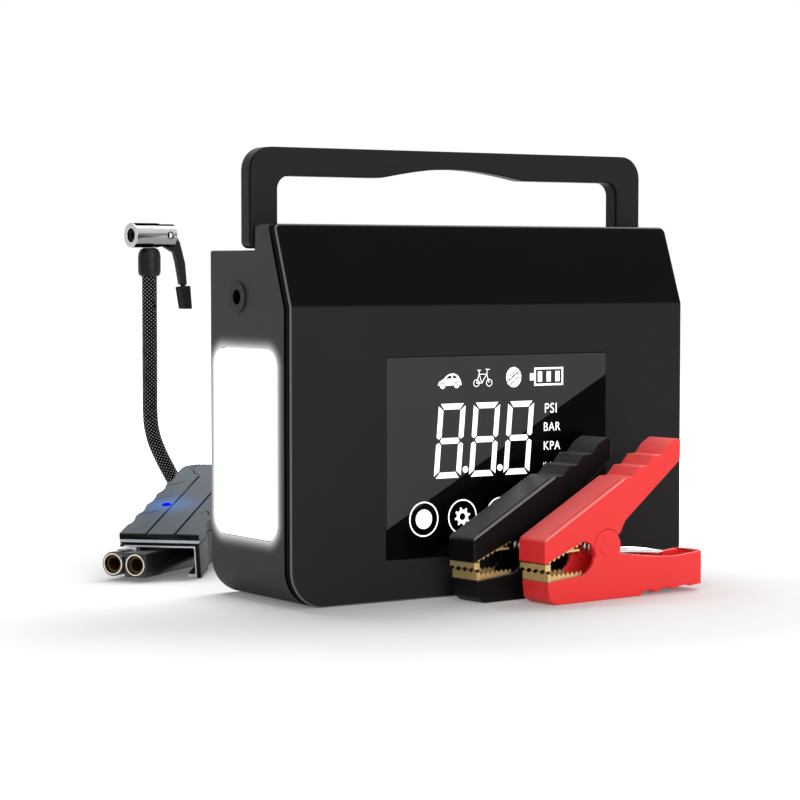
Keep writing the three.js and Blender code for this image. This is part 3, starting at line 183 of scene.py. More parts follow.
def prism(outline, axis, start, end):
    """Closed solid of an outline that runs along an axis."""
    build = bmesh.new()
    rings = []
    for level in (start, end):
        rings.append(add_ring(build, outline, axis, level))
        build.faces.new(rings[-1])
    add_wall(build, *rings)
    return closed_mesh(build)


def lathed(profile, axis, at, sides=48, closed=False):
    """A profile of (place along the axis, radius) turned round it. A radius of 0 closes the end. A closed
    profile runs back to its start, as a washer's does."""
    build = bmesh.new()
    rings = []
    for level, radius in profile:
        outline = circle(at, radius, sides)
        rings.append(add_ring(build, outline if radius > 0 else outline[:1], axis, level))
    for k in range(0 if closed else 1, len(rings)):
        add_wall(build, rings[k - 1], rings[k])
    return closed_mesh(build)


def joined(meshes):
    """Several meshes as one, without joining their surfaces."""
    build = bmesh.new()
    for mesh in meshes:
        build.from_mesh(mesh)
    return to_mesh(build)


def mesh_from(*helpers):
    """The finished mesh of the first of some helper objects. All of them are removed."""
    graph = bpy.context.evaluated_depsgraph_get()
    mesh = bpy.data.meshes.new_from_object(helpers[0].evaluated_get(graph))
    for helper in helpers:
        bpy.data.objects.remove(helper)
    return mesh


def carved(base, tools):
    """A mesh with others cut out of it."""
    body = add_object("carved", base)
    helpers = []
    for tool in tools:
        helpers.append(add_object("tool", tool))
        step = body.modifiers.new("cut", "BOOLEAN")
        step.operation = "DIFFERENCE"
        step.object = helpers[-1]
        step.solver = "EXACT"
    return mesh_from(body, *helpers)


def catmull_rom(points, share):
    """A place on the centripetal curve between the middle two of four points."""
    knots = [0.0]
    for a, b in zip(points, points[1:]):
        knots.append(knots[-1] + max((b - a).length, 1e-6) ** 0.5)
    t = knots[1] + (knots[2] - knots[1]) * share

    def between(a, b, i, j):
        span = knots[j] - knots[i]
        return a * ((knots[j] - t) / span) + b * ((t - knots[i]) / span)

    a1, a2, a3 = (between(points[i], points[i + 1], i, i + 1) for i in range(3))
    return between(between(a1, a2, 0, 2), between(a2, a3, 1, 3), 1, 2)


def smooth_path(points, step):
    """Places about one step apart along a smooth curve through the points."""
    points = [Vector(p) for p in points]
    padded = [points[0] * 2 - points[1], *points, points[-1] * 2 - points[-2]]
    places = []
    for i in range(len(points) - 1):
        count = max(1, round((points[i + 1] - points[i]).length / step))
        places += [catmull_rom(padded[i:i + 4], k / count) for k in range(count)]
    return places + [points[-1]]


def swept(path, sides, radius, shade=None):
    """A tube along a path. radius(turn, distance) is its half width and shade its tone, turn from 0 to 1."""
    build = bmesh.new()
    tone = build.verts.layers.float.new("tone") if shade else None
    side_way = (path[1] - path[0]).normalized().orthogonal().normalized()
    distance = 0.0
    rings = []
    for i, here in enumerate(path):
        ahead = (path[min(i + 1, len(path) - 1)] - path[max(i - 1, 0)]).normalized()
        side_way = (side_way - ahead * side_way.dot(ahead)).normalized()
        across = ahead.cross(side_way)
        if i:
            distance += (here - path[i - 1]).length
        ring = []
        for k in range(sides):
            angle = 2 * math.pi * k / sides
            reach = radius(k / sides, distance)
            vert = build.verts.new(here + (side_way * math.cos(angle) + across * math.sin(angle)) * reach)
            if shade:
                vert[tone] = shade(k / sides, distance)
            ring.append(vert)
        rings.append(ring)
    build.faces.new(rings[0])
    build.faces.new(rings[-1])
    for low, high in zip(rings, rings[1:]):
        add_wall(build, low, high)
    return closed_mesh(build)


# ------------------------------------------------------------------ procedural finishes
WHITE = (1.0, 1.0, 1.0, 1.0)
BLACK = (0.0015, 0.0015, 0.0015, 1.0)


def linear(value):
    """A colour written as #rrggbb, as linear light. Anything else stays as it is."""
    if not isinstance(value, str):
        return value
    shares = [int(value[i:i + 2], 16) / 255 for i in (1, 3, 5)]
    return tuple((c / 12.92 if c <= 0.04045 else ((c + 0.055) / 1.055) ** 2.4) for c in shares) + (1.0,)


def scaled(colour, factor):
    return tuple(min(c * factor, 1.0) for c in linear(colour)[:3]) + (1.0,)


class Value:
    """What a node gives. Sums work on it, and a comparison is 1 where it holds and 0 elsewhere."""

    def __init__(self, tree, socket):
        self.tree = tree
        self.socket = socket

    def math(self, operation, other=0.0):
        return self.tree.value("ShaderNodeMath", {0: self, 1: other}, operation=operation)

    __add__ = partialmethod(math, "ADD")
    __sub__ = partialmethod(math, "SUBTRACT")
    __mul__ = partialmethod(math, "MULTIPLY")
    __pow__ = partialmethod(math, "POWER")
    __gt__ = partialmethod(math, "GREATER_THAN")
    __lt__ = partialmethod(math, "LESS_THAN")
    __abs__ = partialmethod(math, "ABSOLUTE")
    at_least = partialmethod(math, "MAXIMUM")
    at_most = partialmethod(math, "MINIMUM")

    def span(self, low, high, to_low=0.0, to_high=1.0):
        """The value from one range put into another and held there."""
        return self.tree.value("ShaderNodeMapRange", {0: self, 1: low, 2: high, 3: to_low, 4: to_high})


def distance_of(a, b):
    """How far two values lie from nought, as the sides of a right angle."""
    return (a * a + b * b).math("SQRT")


class Tree:
    """A node tree that is put together node by node."""

    def __init__(self, owner):
        owner.use_nodes = True
        self.tree = owner.node_tree

    def feed(self, socket, value):
        if isinstance(value, Value):
            self.tree.links.new(value.socket, socket)
        else:
            socket.default_value = linear(value)

    def node(self, kind, inputs=None, **settings):
        made = self.tree.nodes.new(kind)
        for key, value in settings.items():
            setattr(made, key, value)
        for key, value in (inputs or {}).items():
            self.feed(made.inputs[key], value)
        return made

    def value(self, kind, inputs=None, output=0, **settings):
        return Value(self, self.node(kind, inputs, **settings).outputs[output])

    def seen(self):
        """1 for rays of the camera, of mirrors and of glass, 0 for rays that light the object."""
        rays = self.node("ShaderNodeLightPath").outputs
        camera, glossy, clear = (Value(self, rays[name]) for name in (
            "Is Camera Ray", "Is Glossy Ray", "Is Transmission Ray"))
        return camera.at_least(glossy.at_least(clear))


class Finish(Tree):
    """A procedural material."""

    def __init__(self, name, roughness=0.5, metallic=0.0, specular=0.5, coat=0.0):
        self.material = bpy.data.materials.new(name)
        super().__init__(self.material)
        self.shader = self.tree.nodes["Principled BSDF"]
        self.set(Roughness=roughness, Metallic=metallic, Specular_IOR_Level=specular)
        self.set(Coat_Weight=coat, Coat_Roughness=0.1)
        self.place = self.value("ShaderNodeTexCoord", output="Object")

    def set(self, **inputs):
        for key, value in inputs.items():
            self.feed(self.shader.inputs[key.replace("_", " ")], value)

    def noise(self, scale, detail=2.0):
        return self.value("ShaderNodeTexNoise", {"Vector": self.place, "Scale": scale, "Detail": detail})

    def mix(self, share, a, b):
        return self.value("ShaderNodeMix", {0: share, 6: a, 7: b}, output=2, data_type="RGBA")

    def ramp(self, share, stops):
        made = self.node("ShaderNodeValToRGB", {0: share})
        ramp = made.color_ramp
        while len(ramp.elements) < len(stops):
            ramp.elements.new(1.0)
        for element, (place, colour) in zip(ramp.elements, stops):
            element.position = place
            element.color = linear(colour)
        return Value(self, made.outputs[0])

    def axes(self, place=None):
        """The three measures of a place."""
        outputs = self.node("ShaderNodeSeparateXYZ", {0: place or self.place}).outputs
        return [Value(self, output) for output in outputs]

    def facing(self):
        """The way that the surface faces."""
        return self.value("ShaderNodeTexCoord", output="Normal")

    def framed(self, matrix):
        """The place inside a turned frame, whose matrix is in millimetres."""
        turned = Matrix.LocRotScale(matrix.translation * MM, matrix.to_quaternion(), None).inverted()
        inputs = {"Vector": self.place, "Location": turned.translation, "Rotation": turned.to_euler()}
        return self.value("ShaderNodeMapping", inputs)

    def bump(self, height, strength, distance):
        inputs = {"Height": height, "Strength": strength, "Distance": distance}
        self.set(Normal=self.value("ShaderNodeBump", inputs))

    def grain(self, fine, low, high):
        """Roughness that changes with a fine noise."""
        self.set(Roughness=fine.span(0.3, 0.7, low, high))

    def wear_and_sheen(self):
        """1 on sharp outer edges, 0 elsewhere. There the plastic is made lighter: partly rubbed wear, partly a
        painted highlight.
        """
        return self.value("ShaderNodeNewGeometry", output="Pointiness").span(0.515, 0.6)


def moulded(name, colour, roughness=0.5, specular=0.1, grain=0.35, bump=0.12, mottle=0.05, wear_and_sheen=1.25,
            paint=None):
    """Injection-moulded plastic: a fine grain, slow changes of tone and lighter edges, partly rubbed wear and
    partly a painted highlight. paint(finish, base) can change the colour where the piece has zones."""
    finish = Finish(name, roughness, specular=specular)
    fine = finish.noise(1000.0 / grain)
    base = finish.mix(finish.noise(22.0, 3.0), scaled(colour, 1 - mottle), scaled(colour, 1 + mottle))
    # lighter sharp edges: partly rubbed wear, partly a painted highlight
    base = finish.mix(finish.wear_and_sheen(), base, scaled(colour, wear_and_sheen))
    finish.set(Base_Color=paint(finish, base) if paint else base)
    finish.grain(fine, max(roughness - 0.07, 0.02), roughness + 0.07)
    finish.bump(fine, bump, 0.00008)
    return finish


def metal(name, colour, roughness=0.25, bump=0.05, metallic=1.0):
    """Metal with fine scratches, and a slow change of polish."""
    finish = Finish(name, roughness, metallic=metallic)
    fine = finish.noise(1800.0, 3.0)
    finish.set(Base_Color=finish.mix(finish.noise(60.0, 3.0), scaled(colour, 0.9), colour))
    finish.grain(fine, roughness * 0.75, roughness * 1.3)
    finish.bump(fine, bump, 0.00005)
    return finish


def glowing(name, colour, strength, specular=0.3):
    finish = Finish(name, 0.4, specular=specular)
    finish.set(Base_Color=finish.mix(finish.noise(1500.0), scaled(colour, 0.94), colour))
    finish.set(Emission_Color=colour, Emission_Strength=strength)
    return finish


# ------------------------------------------------------------------ pieces
def add_piece(name, mesh, body, finish, slot, replaced=(), place=None, bevel=0.0, sharp=40, smooth=True):
    """An object of a mesh in millimetres, in its place, riding on its body."""
    if place is not None:
        mesh.transform(place)
    mesh.transform(Matrix.Scale(MM, 4))
    mesh.materials.clear()
    mesh.materials.append(finish.material)
    mesh.polygons.foreach_set("material_index", [0] * len(mesh.polygons))
    mesh.name = name
    made = add_object(name, mesh)
    if bevel:
        rounding = made.modifiers.new("rounding", "BEVEL")
        rounding.width = bevel * MM
        rounding.segments = 3
        rounding.limit_method = "ANGLE"
        rounding.angle_limit = math.radians(35)
        rounding.use_clamp_overlap = False
        rounding.miter_outer = "MITER_ARC"
    if smooth:
        mesh.polygons.foreach_set("use_smooth", [True] * len(mesh.polygons))
        if not bevel:
            mesh.set_sharp_from_angle(angle=math.radians(sharp))
        shading = made.modifiers.new("shading", "WEIGHTED_NORMAL")
        shading.keep_sharp = True
    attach(made, body)
    if replaced:
        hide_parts(*replaced)
    return made


def dressed(node, mesh, finish, **options):
    """A piece that stands for one node, on the node's own body."""
    body, slot = nodes[node]["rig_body"], SLOT_OF[node]
    return add_piece(node + ".dressed", mesh, body, finish, slot, (node,), **options)


def rounded_copy(node, rounds, segments=3):
    """The solid of a node, in millimetres, with its edges rounded. rounds lists (width, chooser of edges)."""
    build = bmesh.new()
    build.from_mesh(nodes[node].data)
    bmesh.ops.transform(build, matrix=Matrix.Scale(1 / MM, 4), verts=build.verts)
    bmesh.ops.remove_doubles(build, verts=build.verts, dist=0.002)
    bmesh.ops.dissolve_limit(build, angle_limit=math.radians(0.6), verts=build.verts, edges=build.edges)
    for width, chosen in rounds:
        build.normal_update()
        edges = [e for e in build.edges if len(e.link_faces) == 2
                 and e.calc_face_angle(0.0) > math.radians(30) and chosen(e)]
        bmesh.ops.bevel(build, geom=edges, offset=width, segments=segments, profile=0.5, affect="EDGES",
                        clamp_overlap=False, miter_outer="ARC")
    return to_mesh(build, node)


def longer_than(shortest):
    return lambda edge: edge.calc_length() > shortest


def dress_rounded(node, width, finish, shortest=0.8, segments=3, **options):
    """A node's own solid with its longer edges rounded, in the node's place."""
    return dressed(node, rounded_copy(node, [(width, longer_than(shortest))], segments), finish, **options)


def middle(edge):
    return (edge.verts[0].co + edge.verts[1].co) / 2


# ------------------------------------------------------------------ air hose
LEAD = {"at": (-91.7, 90.7), "turn": -45.0, "tilt": 12.0, "height": 20.0, "recess_half": 15.4,
        "recess_height": 13.6}
LEAD_FLAT = Matrix.Translation((*LEAD["at"], 0)) @ Matrix.Rotation(math.radians(LEAD["turn"]), 4, "Z")
LEAD_FRAME = LEAD_FLAT @ Matrix.Rotation(math.radians(LEAD["tilt"]), 4, "X")
HOSE = {"radius": 3.7, "relief": 0.34, "top": 131.6, "strands": 11, "lay": 19.0, "sides": 88, "step": 0.29}
HOSE_ROUTE = [
    (-8, 82.05, 6.5), (-8.5, 90.7, 6.9), (-10.1, 98.3, 8.4), (-12.6, 104.9, 10.9), (-16.1, 111, 14.5),
    (-20, 115.8, 19), (-24.3, 119.3, 24.3), (-28.8, 121.4, 30.5), (-32.8, 122.1, 37), (-36.3, 121.8, 43.8),
    (-39.1, 120.8, 51.1), (-40.6, 119.8, 58.6), (-41, 119.5, 66.4), (-41, 119.5, 78), (-41, 119.5, 91),
    (-41, 119.5, 105), (-41, 119.5, 119), (-41, 119.5, HOSE["top"]),
]                                 # (across, along, up) from the lead module's front end
HOSE_PATH = smooth_path([LEAD_FLAT @ Vector(p) for p in HOSE_ROUTE], HOSE["step"])


def braid_knob(turn, distance):
    """0 between the strands of the braid, 1 on top of a crossing."""
    one = HOSE["strands"] * (turn + distance / HOSE["lay"])
    other = HOSE["strands"] * (turn - distance / HOSE["lay"])
    return abs(math.sin(math.pi * one) * math.sin(math.pi * other))


def hose_reach(turn, distance):
    return HOSE["radius"] - HOSE["relief"] + HOSE["relief"] * braid_knob(turn, distance)


def hose_finish():
    """Black braid with light flecks on its crossings: painted glints on the crossings' tops."""
    finish = Finish("hose_braid", 0.5, specular=0.04)
    tone = finish.value("ShaderNodeAttribute", output="Fac", attribute_name="tone")
    # painted glints: light flecks on the tops of the crossings
    painted_glint = tone.span(0.66, 0.9) * finish.noise(420.0).span(0.24, 0.42)
    finish.set(Base_Color=finish.mix(painted_glint, "#050505", "#dededb"), Roughness=tone.span(0.2, 0.9, 0.75, 0.4))
    finish.bump(finish.noise(5000.0), 0.2, 0.0001)
    return finish


hose = dressed("air_hose", swept(HOSE_PATH, HOSE["sides"], hose_reach, braid_knob), hose_finish(), sharp=180)

# ------------------------------------------------------------------ sizes and finishes of the main unit
COVER_LOW, COVER_HIGH = corners_of("front_cover")
SHELL_HIGH = corners_of("main_shell")[1]
UNIT = {"side": SHELL_HIGH.x, "front": COVER_LOW.y, "rear": SHELL_HIGH.y, "top": COVER_HIGH.z, "deck": 142.5,
        "shoulder": 120.0, "base_corner": 15.6, "lean": 12.0}
LAMP = {"width": 50.4, "height": 76.5, "y": 3.8, "z": 64.4, "corner": 7.5, "glow": 6.5}
WINDOW = {"width": 112.4, "height": 82.0, "x": 1.5, "z": 58.1}
PANE_REFLECTION_EDGE = ((-54.7, 29.4), (57.7, 89.9))     # two places, as (x, z), on the edge of the painted reflection across the pane
COVER_EDGE = 0.85                 # where the painted highlight along the cover's edge ends; behind it all is painted black, as shade
SHELL_START = 5.1                 # how far behind the front the shell's own colour starts; nearer the front it is painted black, as shade
HANDLE = {"leg": 12.2, "bar": 11.6, "thick": 8.6, "top": 184.3, "corner": 9.5, "inner_corner": 5.5,
          "arch_half": 37.0, "arch_rise": 4.2, "hinge_y": 2.3, "hinge_z": 147.5}
HANDLE_FRONT = HANDLE["hinge_y"] - HANDLE["thick"] / 2
# the last number is where the seam's painted shade begins, behind the handle's front
HANDLE_SEAM = {"behind": 0.8, "wide": 0.8, "deep": 0.6, "shade_from": 0.3}
PORT = {"y": 8.7, "z": 123.5, "bore": 3.05}


def behind_lean(y, z, unit=1.0):
    """Distance behind the leaning band's plane, of numbers or of a finish's values. unit is 1 mm in theirs."""
    rise, run = UNIT["top"] - UNIT["shoulder"], UNIT["lean"]
    length = math.hypot(rise, run)
    return (y - UNIT["front"] * unit) * (rise / length) - (z - UNIT["shoulder"] * unit) * (run / length)


def skin_depth(finish):
    """How far a place lies behind the front face or the leaning band, whichever is nearer."""
    x, y, z = finish.axes()
    return (y - UNIT["front"] * MM).at_most(behind_lean(y, z, MM))


def lamp_distance(finish):
    """Distance of a place of the left wall from the middle lines of the lamp's rounded rim; its corner
    radius on the rim itself."""
    x, y, z = finish.axes()
    off_y = abs(y - LAMP["y"] * MM) - (LAMP["width"] / 2 - LAMP["corner"]) * MM
    off_z = abs(z - LAMP["z"] * MM) - (LAMP["height"] / 2 - LAMP["corner"]) * MM
    return distance_of(off_y.at_least(0.0), off_z.at_least(0.0))


def lamp_glow(finish):
    """A painted glow of the left wall round the lamp, standing for the lamp's light on it: from 0 far away to
    1 at its rim.
    """
    rim = LAMP["corner"]
    near = lamp_distance(finish).span(rim * MM, (rim + LAMP["glow"]) * MM, 1.0, 0.0)
    on_wall = finish.axes()[0].span((0.6 - UNIT["side"]) * MM, (0.1 - UNIT["side"]) * MM)
    return near ** 3.0 * on_wall


def shell_finish():
    """The shell is painted black, as shade, inside the groove behind the front cover, and round the lamp the
    wall has a painted glow.
    """
    def groove(finish, base):
        # painted shade: the shell is black where it lies in the groove behind the cover
        outside = skin_depth(finish).span((SHELL_START + 0.02) * MM, (SHELL_START + 0.08) * MM)
        return finish.mix(outside, BLACK, base)

    finish = moulded("shell_plastic", "#3a3a3b", roughness=0.55, wear_and_sheen=1.15, paint=groove)
    # painted glow: the wall itself emits light round the lamp
    finish.set(Emission_Color=WHITE, Emission_Strength=lamp_glow(finish) * 0.75)
    return finish


def lamp_finish():
    """The lamp's diffuser, a little dimmer along its rim."""
    finish = Finish("lamp_diffuser", 0.4, specular=0.3)
    rim = lamp_distance(finish).span((LAMP["corner"] - 1.6) * MM, LAMP["corner"] * MM)
    finish.set(Base_Color=finish.mix(finish.noise(1500.0), "#f4f4f2", "#fdfdfb"))
    finish.set(Emission_Color=WHITE, Emission_Strength=rim.span(0.0, 1.0, 0.95, 0.55))
    return finish


def cover_finish():
    """The front cover with painted light and shade: the leaning band above the shoulder painted darker, as
    shade; a painted highlight along its rounded edge; and painted black, as the groove's shade, behind that
    edge.
    """
    finish = Finish("cover_plastic", 0.5, specular=0.02)
    cloud = finish.noise(22.0, 3.0)
    fine = finish.noise(2800.0)
    leaning = finish.axes()[2].span((UNIT["shoulder"] - 0.3) * MM, (UNIT["shoulder"] + 0.5) * MM)
    depth = skin_depth(finish)
    flat = finish.mix(cloud, "#2a2a2b", "#2f2f30")
    # painted shade: the leaning band is darker than the front face
    band = finish.mix(cloud, "#0f0f10", "#121213")
    colour = finish.mix(leaning, flat, band)
    # painted highlight along the cover's rounded edge
    colour = finish.mix(depth.span(0.12 * MM, 0.4 * MM), colour, "#777778")
    # painted shade: black behind the edge, inside the groove
    finish.set(Base_Color=finish.mix(depth.span(COVER_EDGE * MM, (COVER_EDGE + 0.15) * MM), colour, BLACK))
    finish.grain(fine, 0.42, 0.56)
    finish.bump(fine, 0.1, 0.00008)
    return finish


def pane_finish():
    """Smoked pane with a painted reflection: a lighter half above a slanting line, black below it."""
    finish = Finish("display_pane", 0.12, specular=0.02)
    (x0, z0), (x1, z1) = PANE_REFLECTION_EDGE
    slope = (z1 - z0) / (x1 - x0)
    x, y, z = finish.axes()
    above = (z - (x * slope + (z0 - x0 * slope) * MM)).span(-0.1 * MM, 0.1 * MM)
    # painted reflection: the lighter half of the pane
    light = finish.mix(finish.noise(30.0), "#404041", "#454546")
    finish.set(Base_Color=finish.mix(above, BLACK, light))
    finish.grain(finish.noise(900.0), 0.1, 0.16)
    return finish


def handle_finish():
    """The handle is painted black, as shade, inside its seam and on the strip just ahead of it."""
    def seam(finish, base):
        behind = finish.axes()[1] - HANDLE_FRONT * MM
        end = HANDLE_SEAM["behind"] + HANDLE_SEAM["wide"]
        # painted shade: black in the seam and on the strip ahead of it
        inside = (behind > HANDLE_SEAM["shade_from"] * MM) * (behind < (end - 0.02) * MM)
        return finish.mix(inside, base, BLACK)

    return moulded("handle_plastic", "#232324", roughness=0.45, specular=0.08, wear_and_sheen=1.3, paint=seam)


def port_finish():
    """The air port: painted black, as shade, inside its bore and just round it."""
    def bore(finish, base):
        x, y, z = finish.axes()
        off = distance_of(y - PORT["y"] * MM, z - PORT["z"] * MM)
        # painted shade inside the bore
        return finish.mix(off < (PORT["bore"] + 0.15) * MM, base, BLACK)

    return moulded("fitting_plastic", "#2b2b2c", paint=bore)


def board_finish():
    """Circuit board: green solder mask with fine copper tracks."""
    finish = Finish("circuit_board", 0.45)
    finish.set(Base_Color=finish.value("ShaderNodeTexBrick", {
        "Vector": finish.place, "Scale": 180.0, "Mortar Size": 0.03, "Color1": "#1d5b3c", "Color2": "#1a5236",
        "Mortar": "#3f8a5c"}, output="Color"))
    finish.bump(finish.noise(1500.0), 0.1, 0.0001)
    return finish


def cell_finish():
    """The battery cells' shrink wrap."""
    finish = Finish("cell_wrap", 0.35, coat=0.3)
    inputs = {"Vector": finish.place, "Scale": 14.0, "Distortion": 1.5}
    wave = finish.value("ShaderNodeTexWave", inputs, output="Fac")
    finish.set(Base_Color=finish.mix(wave, "#4d6f9c", "#557aa8"))
    finish.bump(finish.noise(300.0), 0.15, 0.0002)
    return finish


CLAMP = {"turn": 5.0, "pivot": (34.5, 21.6), "lobe": 8.0, "pin": 1.9, "nose": 26.4, "slope": 0.519,
         "ridge_start": 44.3, "rim_aside": 7.35, "rim_down": 0.75}
CLAMP_AT = {"red": (-10.2, -70.4), "black": (-30.0, -49.2)}


def clamp_frame(colour):
    return Matrix.Translation((*CLAMP_AT[colour], 0)) @ Matrix.Rotation(math.radians(CLAMP["turn"]), 4, "Z")


def clamp_finish(which, colour, sheen, rim, specular, wear_and_sheen):
    """A clamp's plastic with painted light. Faces that look up are painted lighter, a sheen as from the
    studio's light above, and a painted highlight runs as a line along both edges of the sloping top."""
    def lit(finish, base):
        up = finish.axes(finish.facing())[2]
        along, across, height = finish.axes(finish.framed(clamp_frame(which)))
        rise = height - along * CLAMP["slope"]
        rim_highlight = (abs(across) > CLAMP["rim_aside"] * MM) * (rise > (CLAMP["nose"] - CLAMP["rim_down"]) * MM)
        rim_highlight = rim_highlight * (along < CLAMP["ridge_start"] * MM)
        # painted sheen on faces that look up, painted highlight along the rim
        return finish.mix(rim_highlight, finish.mix(up.span(0.55, 0.88), base, sheen), rim)

    return moulded("clamp_" + which, colour, roughness=0.38, specular=specular, mottle=0.03, wear_and_sheen=wear_and_sheen,
                   paint=lit)


PLASTICS = {
    "flap_rubber": ("#232324", {"roughness": 0.8, "specular": 0.2, "grain": 0.2, "bump": 0.3}),
    "inner_plastic": ("#d9d6cc", {"roughness": 0.6}),
    "piston_plastic": ("#1d1d1f", {}),
    "soft_rubber": ("#19191a", {"roughness": 0.75, "specular": 0.15, "grain": 0.2, "bump": 0.25}),
    "module_plastic": ("#5f676c", {"roughness": 0.42, "specular": 0.3, "wear_and_sheen": 1.3}),
    "plug_plastic": ("#111214", {"roughness": 0.22, "specular": 0.5, "wear_and_sheen": 1.5}),
    "lever_plastic": ("#242425", {"specular": 0.12, "wear_and_sheen": 1.4}),
}
METALS = {
    "screw_steel": ("#5a5c60", {"roughness": 0.35}),
    "motor_steel": ("#c2c5c9", {"roughness": 0.3}),
    "cast_aluminium": ("#b9bcc0", {"roughness": 0.5, "bump": 0.25}),
    "gear_brass": ("#d8bd85", {"roughness": 0.3}),
    "jaw_brass": ("#efd08e", {"roughness": 0.35, "bump": 0.03, "metallic": 0.55}),
    "spring_steel": ("#e4e4e4", {"roughness": 0.12}),
    "chuck_chrome": ("#d9dadb", {"roughness": 0.12}),
}
FINISHES = {
    **{name: moulded(name, colour, **look) for name, (colour, look) in PLASTICS.items()},
    **{name: metal(name, colour, **look) for name, (colour, look) in METALS.items()},
    "shell_plastic": shell_finish(),
    "cover_plastic": cover_finish(),
    "display_pane": pane_finish(),
    "lamp_diffuser": lamp_finish(),
    "circuit_board": board_finish(),
    "fitting_plastic": port_finish(),
    "handle_plastic": handle_finish(),
    "cell_wrap": cell_finish(),
    # each clamp's colour, then its painted sheen and its painted highlight
    "clamp_red": clamp_finish("red", "#ff3838", "#ff6765", "#ff8a86", 0.3, 1.05),
    "clamp_black": clamp_finish("black", "#0d0d0e", "#555556", "#808081", 0.1, 2.5),
    "led_lens": glowing("led_lens", "#0014e0", 0.45, specular=0.0),
    "hose_braid": Finish("hose_braid_plain", 0.7),
}

for node, slot in SLOT_OF.items():
    mesh = nodes[node].data
    mesh.materials.clear()
    mesh.materials.append(FINISHES[slot].material)


# ------------------------------------------------------------------ main unit
def on_planes(place):
    """How many of the unit's outer faces a place lies on."""
    near = 0.12
    side = UNIT["side"] - abs(place.x) < near
    corner = UNIT["base_corner"]
    if abs(place.x) > UNIT["side"] - corner and place.z < corner:
        off = math.hypot(abs(place.x) - (UNIT["side"] - corner), place.z - corner)
        side = off > corner - 0.4
    base = place.z < near and not side
    rear = abs(place.y - UNIT["rear"]) < near
    front = abs(place.y - UNIT["front"]) < near
    top = UNIT["top"] - place.z < near
    deck = abs(place.z - UNIT["deck"]) < near
    return sum((side, base, rear, front, top, deck))


def make_main_shell():
    def outer(edge):
        return on_planes(middle(edge)) >= 2

    def plateau(edge):
        place = middle(edge)
        return place.z > UNIT["deck"] + 1 and on_planes(place) == 1

    mesh = rounded_copy("main_shell", [(0.9, outer), (0.5, plateau)])
    dressed("main_shell", mesh, FINISHES["shell_plastic"])


def make_front_cover():
    def front_edge(edge):
        place = middle(edge)
        in_window = (abs(place.x - WINDOW["x"]) < WINDOW["width"] / 2 + 2
                     and abs(place.z - WINDOW["z"]) < WINDOW["height"] / 2 + 2)
        below = place.z < UNIT["shoulder"]
        behind = place.y - UNIT["front"] if below else behind_lean(place.y, place.z)
        return abs(behind) < 0.1 and not in_window

    mesh = rounded_copy("front_cover", [(1.3, front_edge)], segments=4)
    dressed("front_cover", mesh, FINISHES["cover_plastic"])


def handle_outline(margin=0.0):
    """The handle seen from the front, as (x, z), drawn smaller by a margin."""
    side, top = UNIT["side"] - margin, HANDLE["top"] - margin
    inner = UNIT["side"] - HANDLE["leg"] + margin
    under = HANDLE["top"] - HANDLE["bar"] + margin
    base = HANDLE["hinge_z"] - HANDLE["thick"] / 2 + margin
    outer_round = HANDLE["corner"] - margin
    inner_round = HANDLE["inner_corner"] + margin
    foot = min(HANDLE["leg"] / 2 - margin - 0.1, 3.0)
    half = HANDLE["arch_half"]
    points = filleted([(side, base, foot), (side, top, outer_round), (-side, top, outer_round),
                       (-side, base, foot), (-inner, base, foot), (-inner, under, inner_round),
                       (-half, under, 0)], 8)
    steps = 16
    for i in range(1, steps):
        x = -half + 2 * half * i / steps
        points.append((x, under + HANDLE["arch_rise"] * math.cos(x / half * math.pi / 2)))
    rest = filleted([(half, under, 0), (inner, under, inner_round), (inner, base, foot), (side, base, 0)], 8)
    return points + rest[:-1]


def make_handle():
    body = prism(handle_outline(), "y", HANDLE_FRONT, HANDLE["hinge_y"] + HANDLE["thick"] / 2)
    start = HANDLE_FRONT + HANDLE_SEAM["behind"]
    end = start + HANDLE_SEAM["wide"]
    around = carved(prism(handle_outline(-2), "y", start, end),
                    [prism(handle_outline(HANDLE_SEAM["deep"]), "y", start - 1, end + 1)])
    dressed("folding_handle", carved(body, [around]), FINISHES["handle_plastic"], bevel=0.6)


make_main_shell()
make_front_cover()
make_handle()


# ------------------------------------------------------------------ display
LIT = glowing("display_light", "#ffffff", 1.0)
SIGN_HALF = 0.04                  # half the thickness of a sign
SIGNS_Y = UNIT["front"] - 0.06 + SIGN_HALF        # the lit signs stand a hair in front of the pane


def show(name, mesh, finish=LIT, place=None):
    add_piece(name, mesh, "root", finish, "display_pane", place=place, smooth=False)


def upright(left=0.0, base=0.0):
    """From a drawing on the floor to the display's front."""
    return Matrix.Translation((left, SIGNS_Y, base)) @ Matrix.Rotation(math.pi / 2, 4, "X")


def flat_sign(loops):
    """A thin plate of closed loops of (x, z), where loops inside others are holes."""
    data = bpy.data.curves.new("sign", "CURVE")
    data.dimensions = "2D"
    data.fill_mode = "BOTH"
    data.extrude = SIGN_HALF
    for loop in loops:
        spline = data.splines.new("POLY")
        spline.points.add(len(loop) - 1)
        for point, (x, z) in zip(spline.points, loop):
            point.co = (x, z, 0, 1)
        spline.use_cyclic_u = True
    mesh = mesh_from(add_object("sign", data))
    mesh.transform(upright())
    return mesh


def stroke(start, end, width):
    """A straight line of some width, as a loop."""
    a, b = Vector(start), Vector(end)
    side = (b - a).normalized().orthogonal() * width / 2
    return [tuple(a + side), tuple(b + side), tuple(b - side), tuple(a - side)]


DIGIT = {"left": -31.6, "pitch": 17.6, "width": 13.4, "height": 30.6, "base": 49.1, "stroke": 2.4, "gap": 0.7,
         "slant": 0.085}


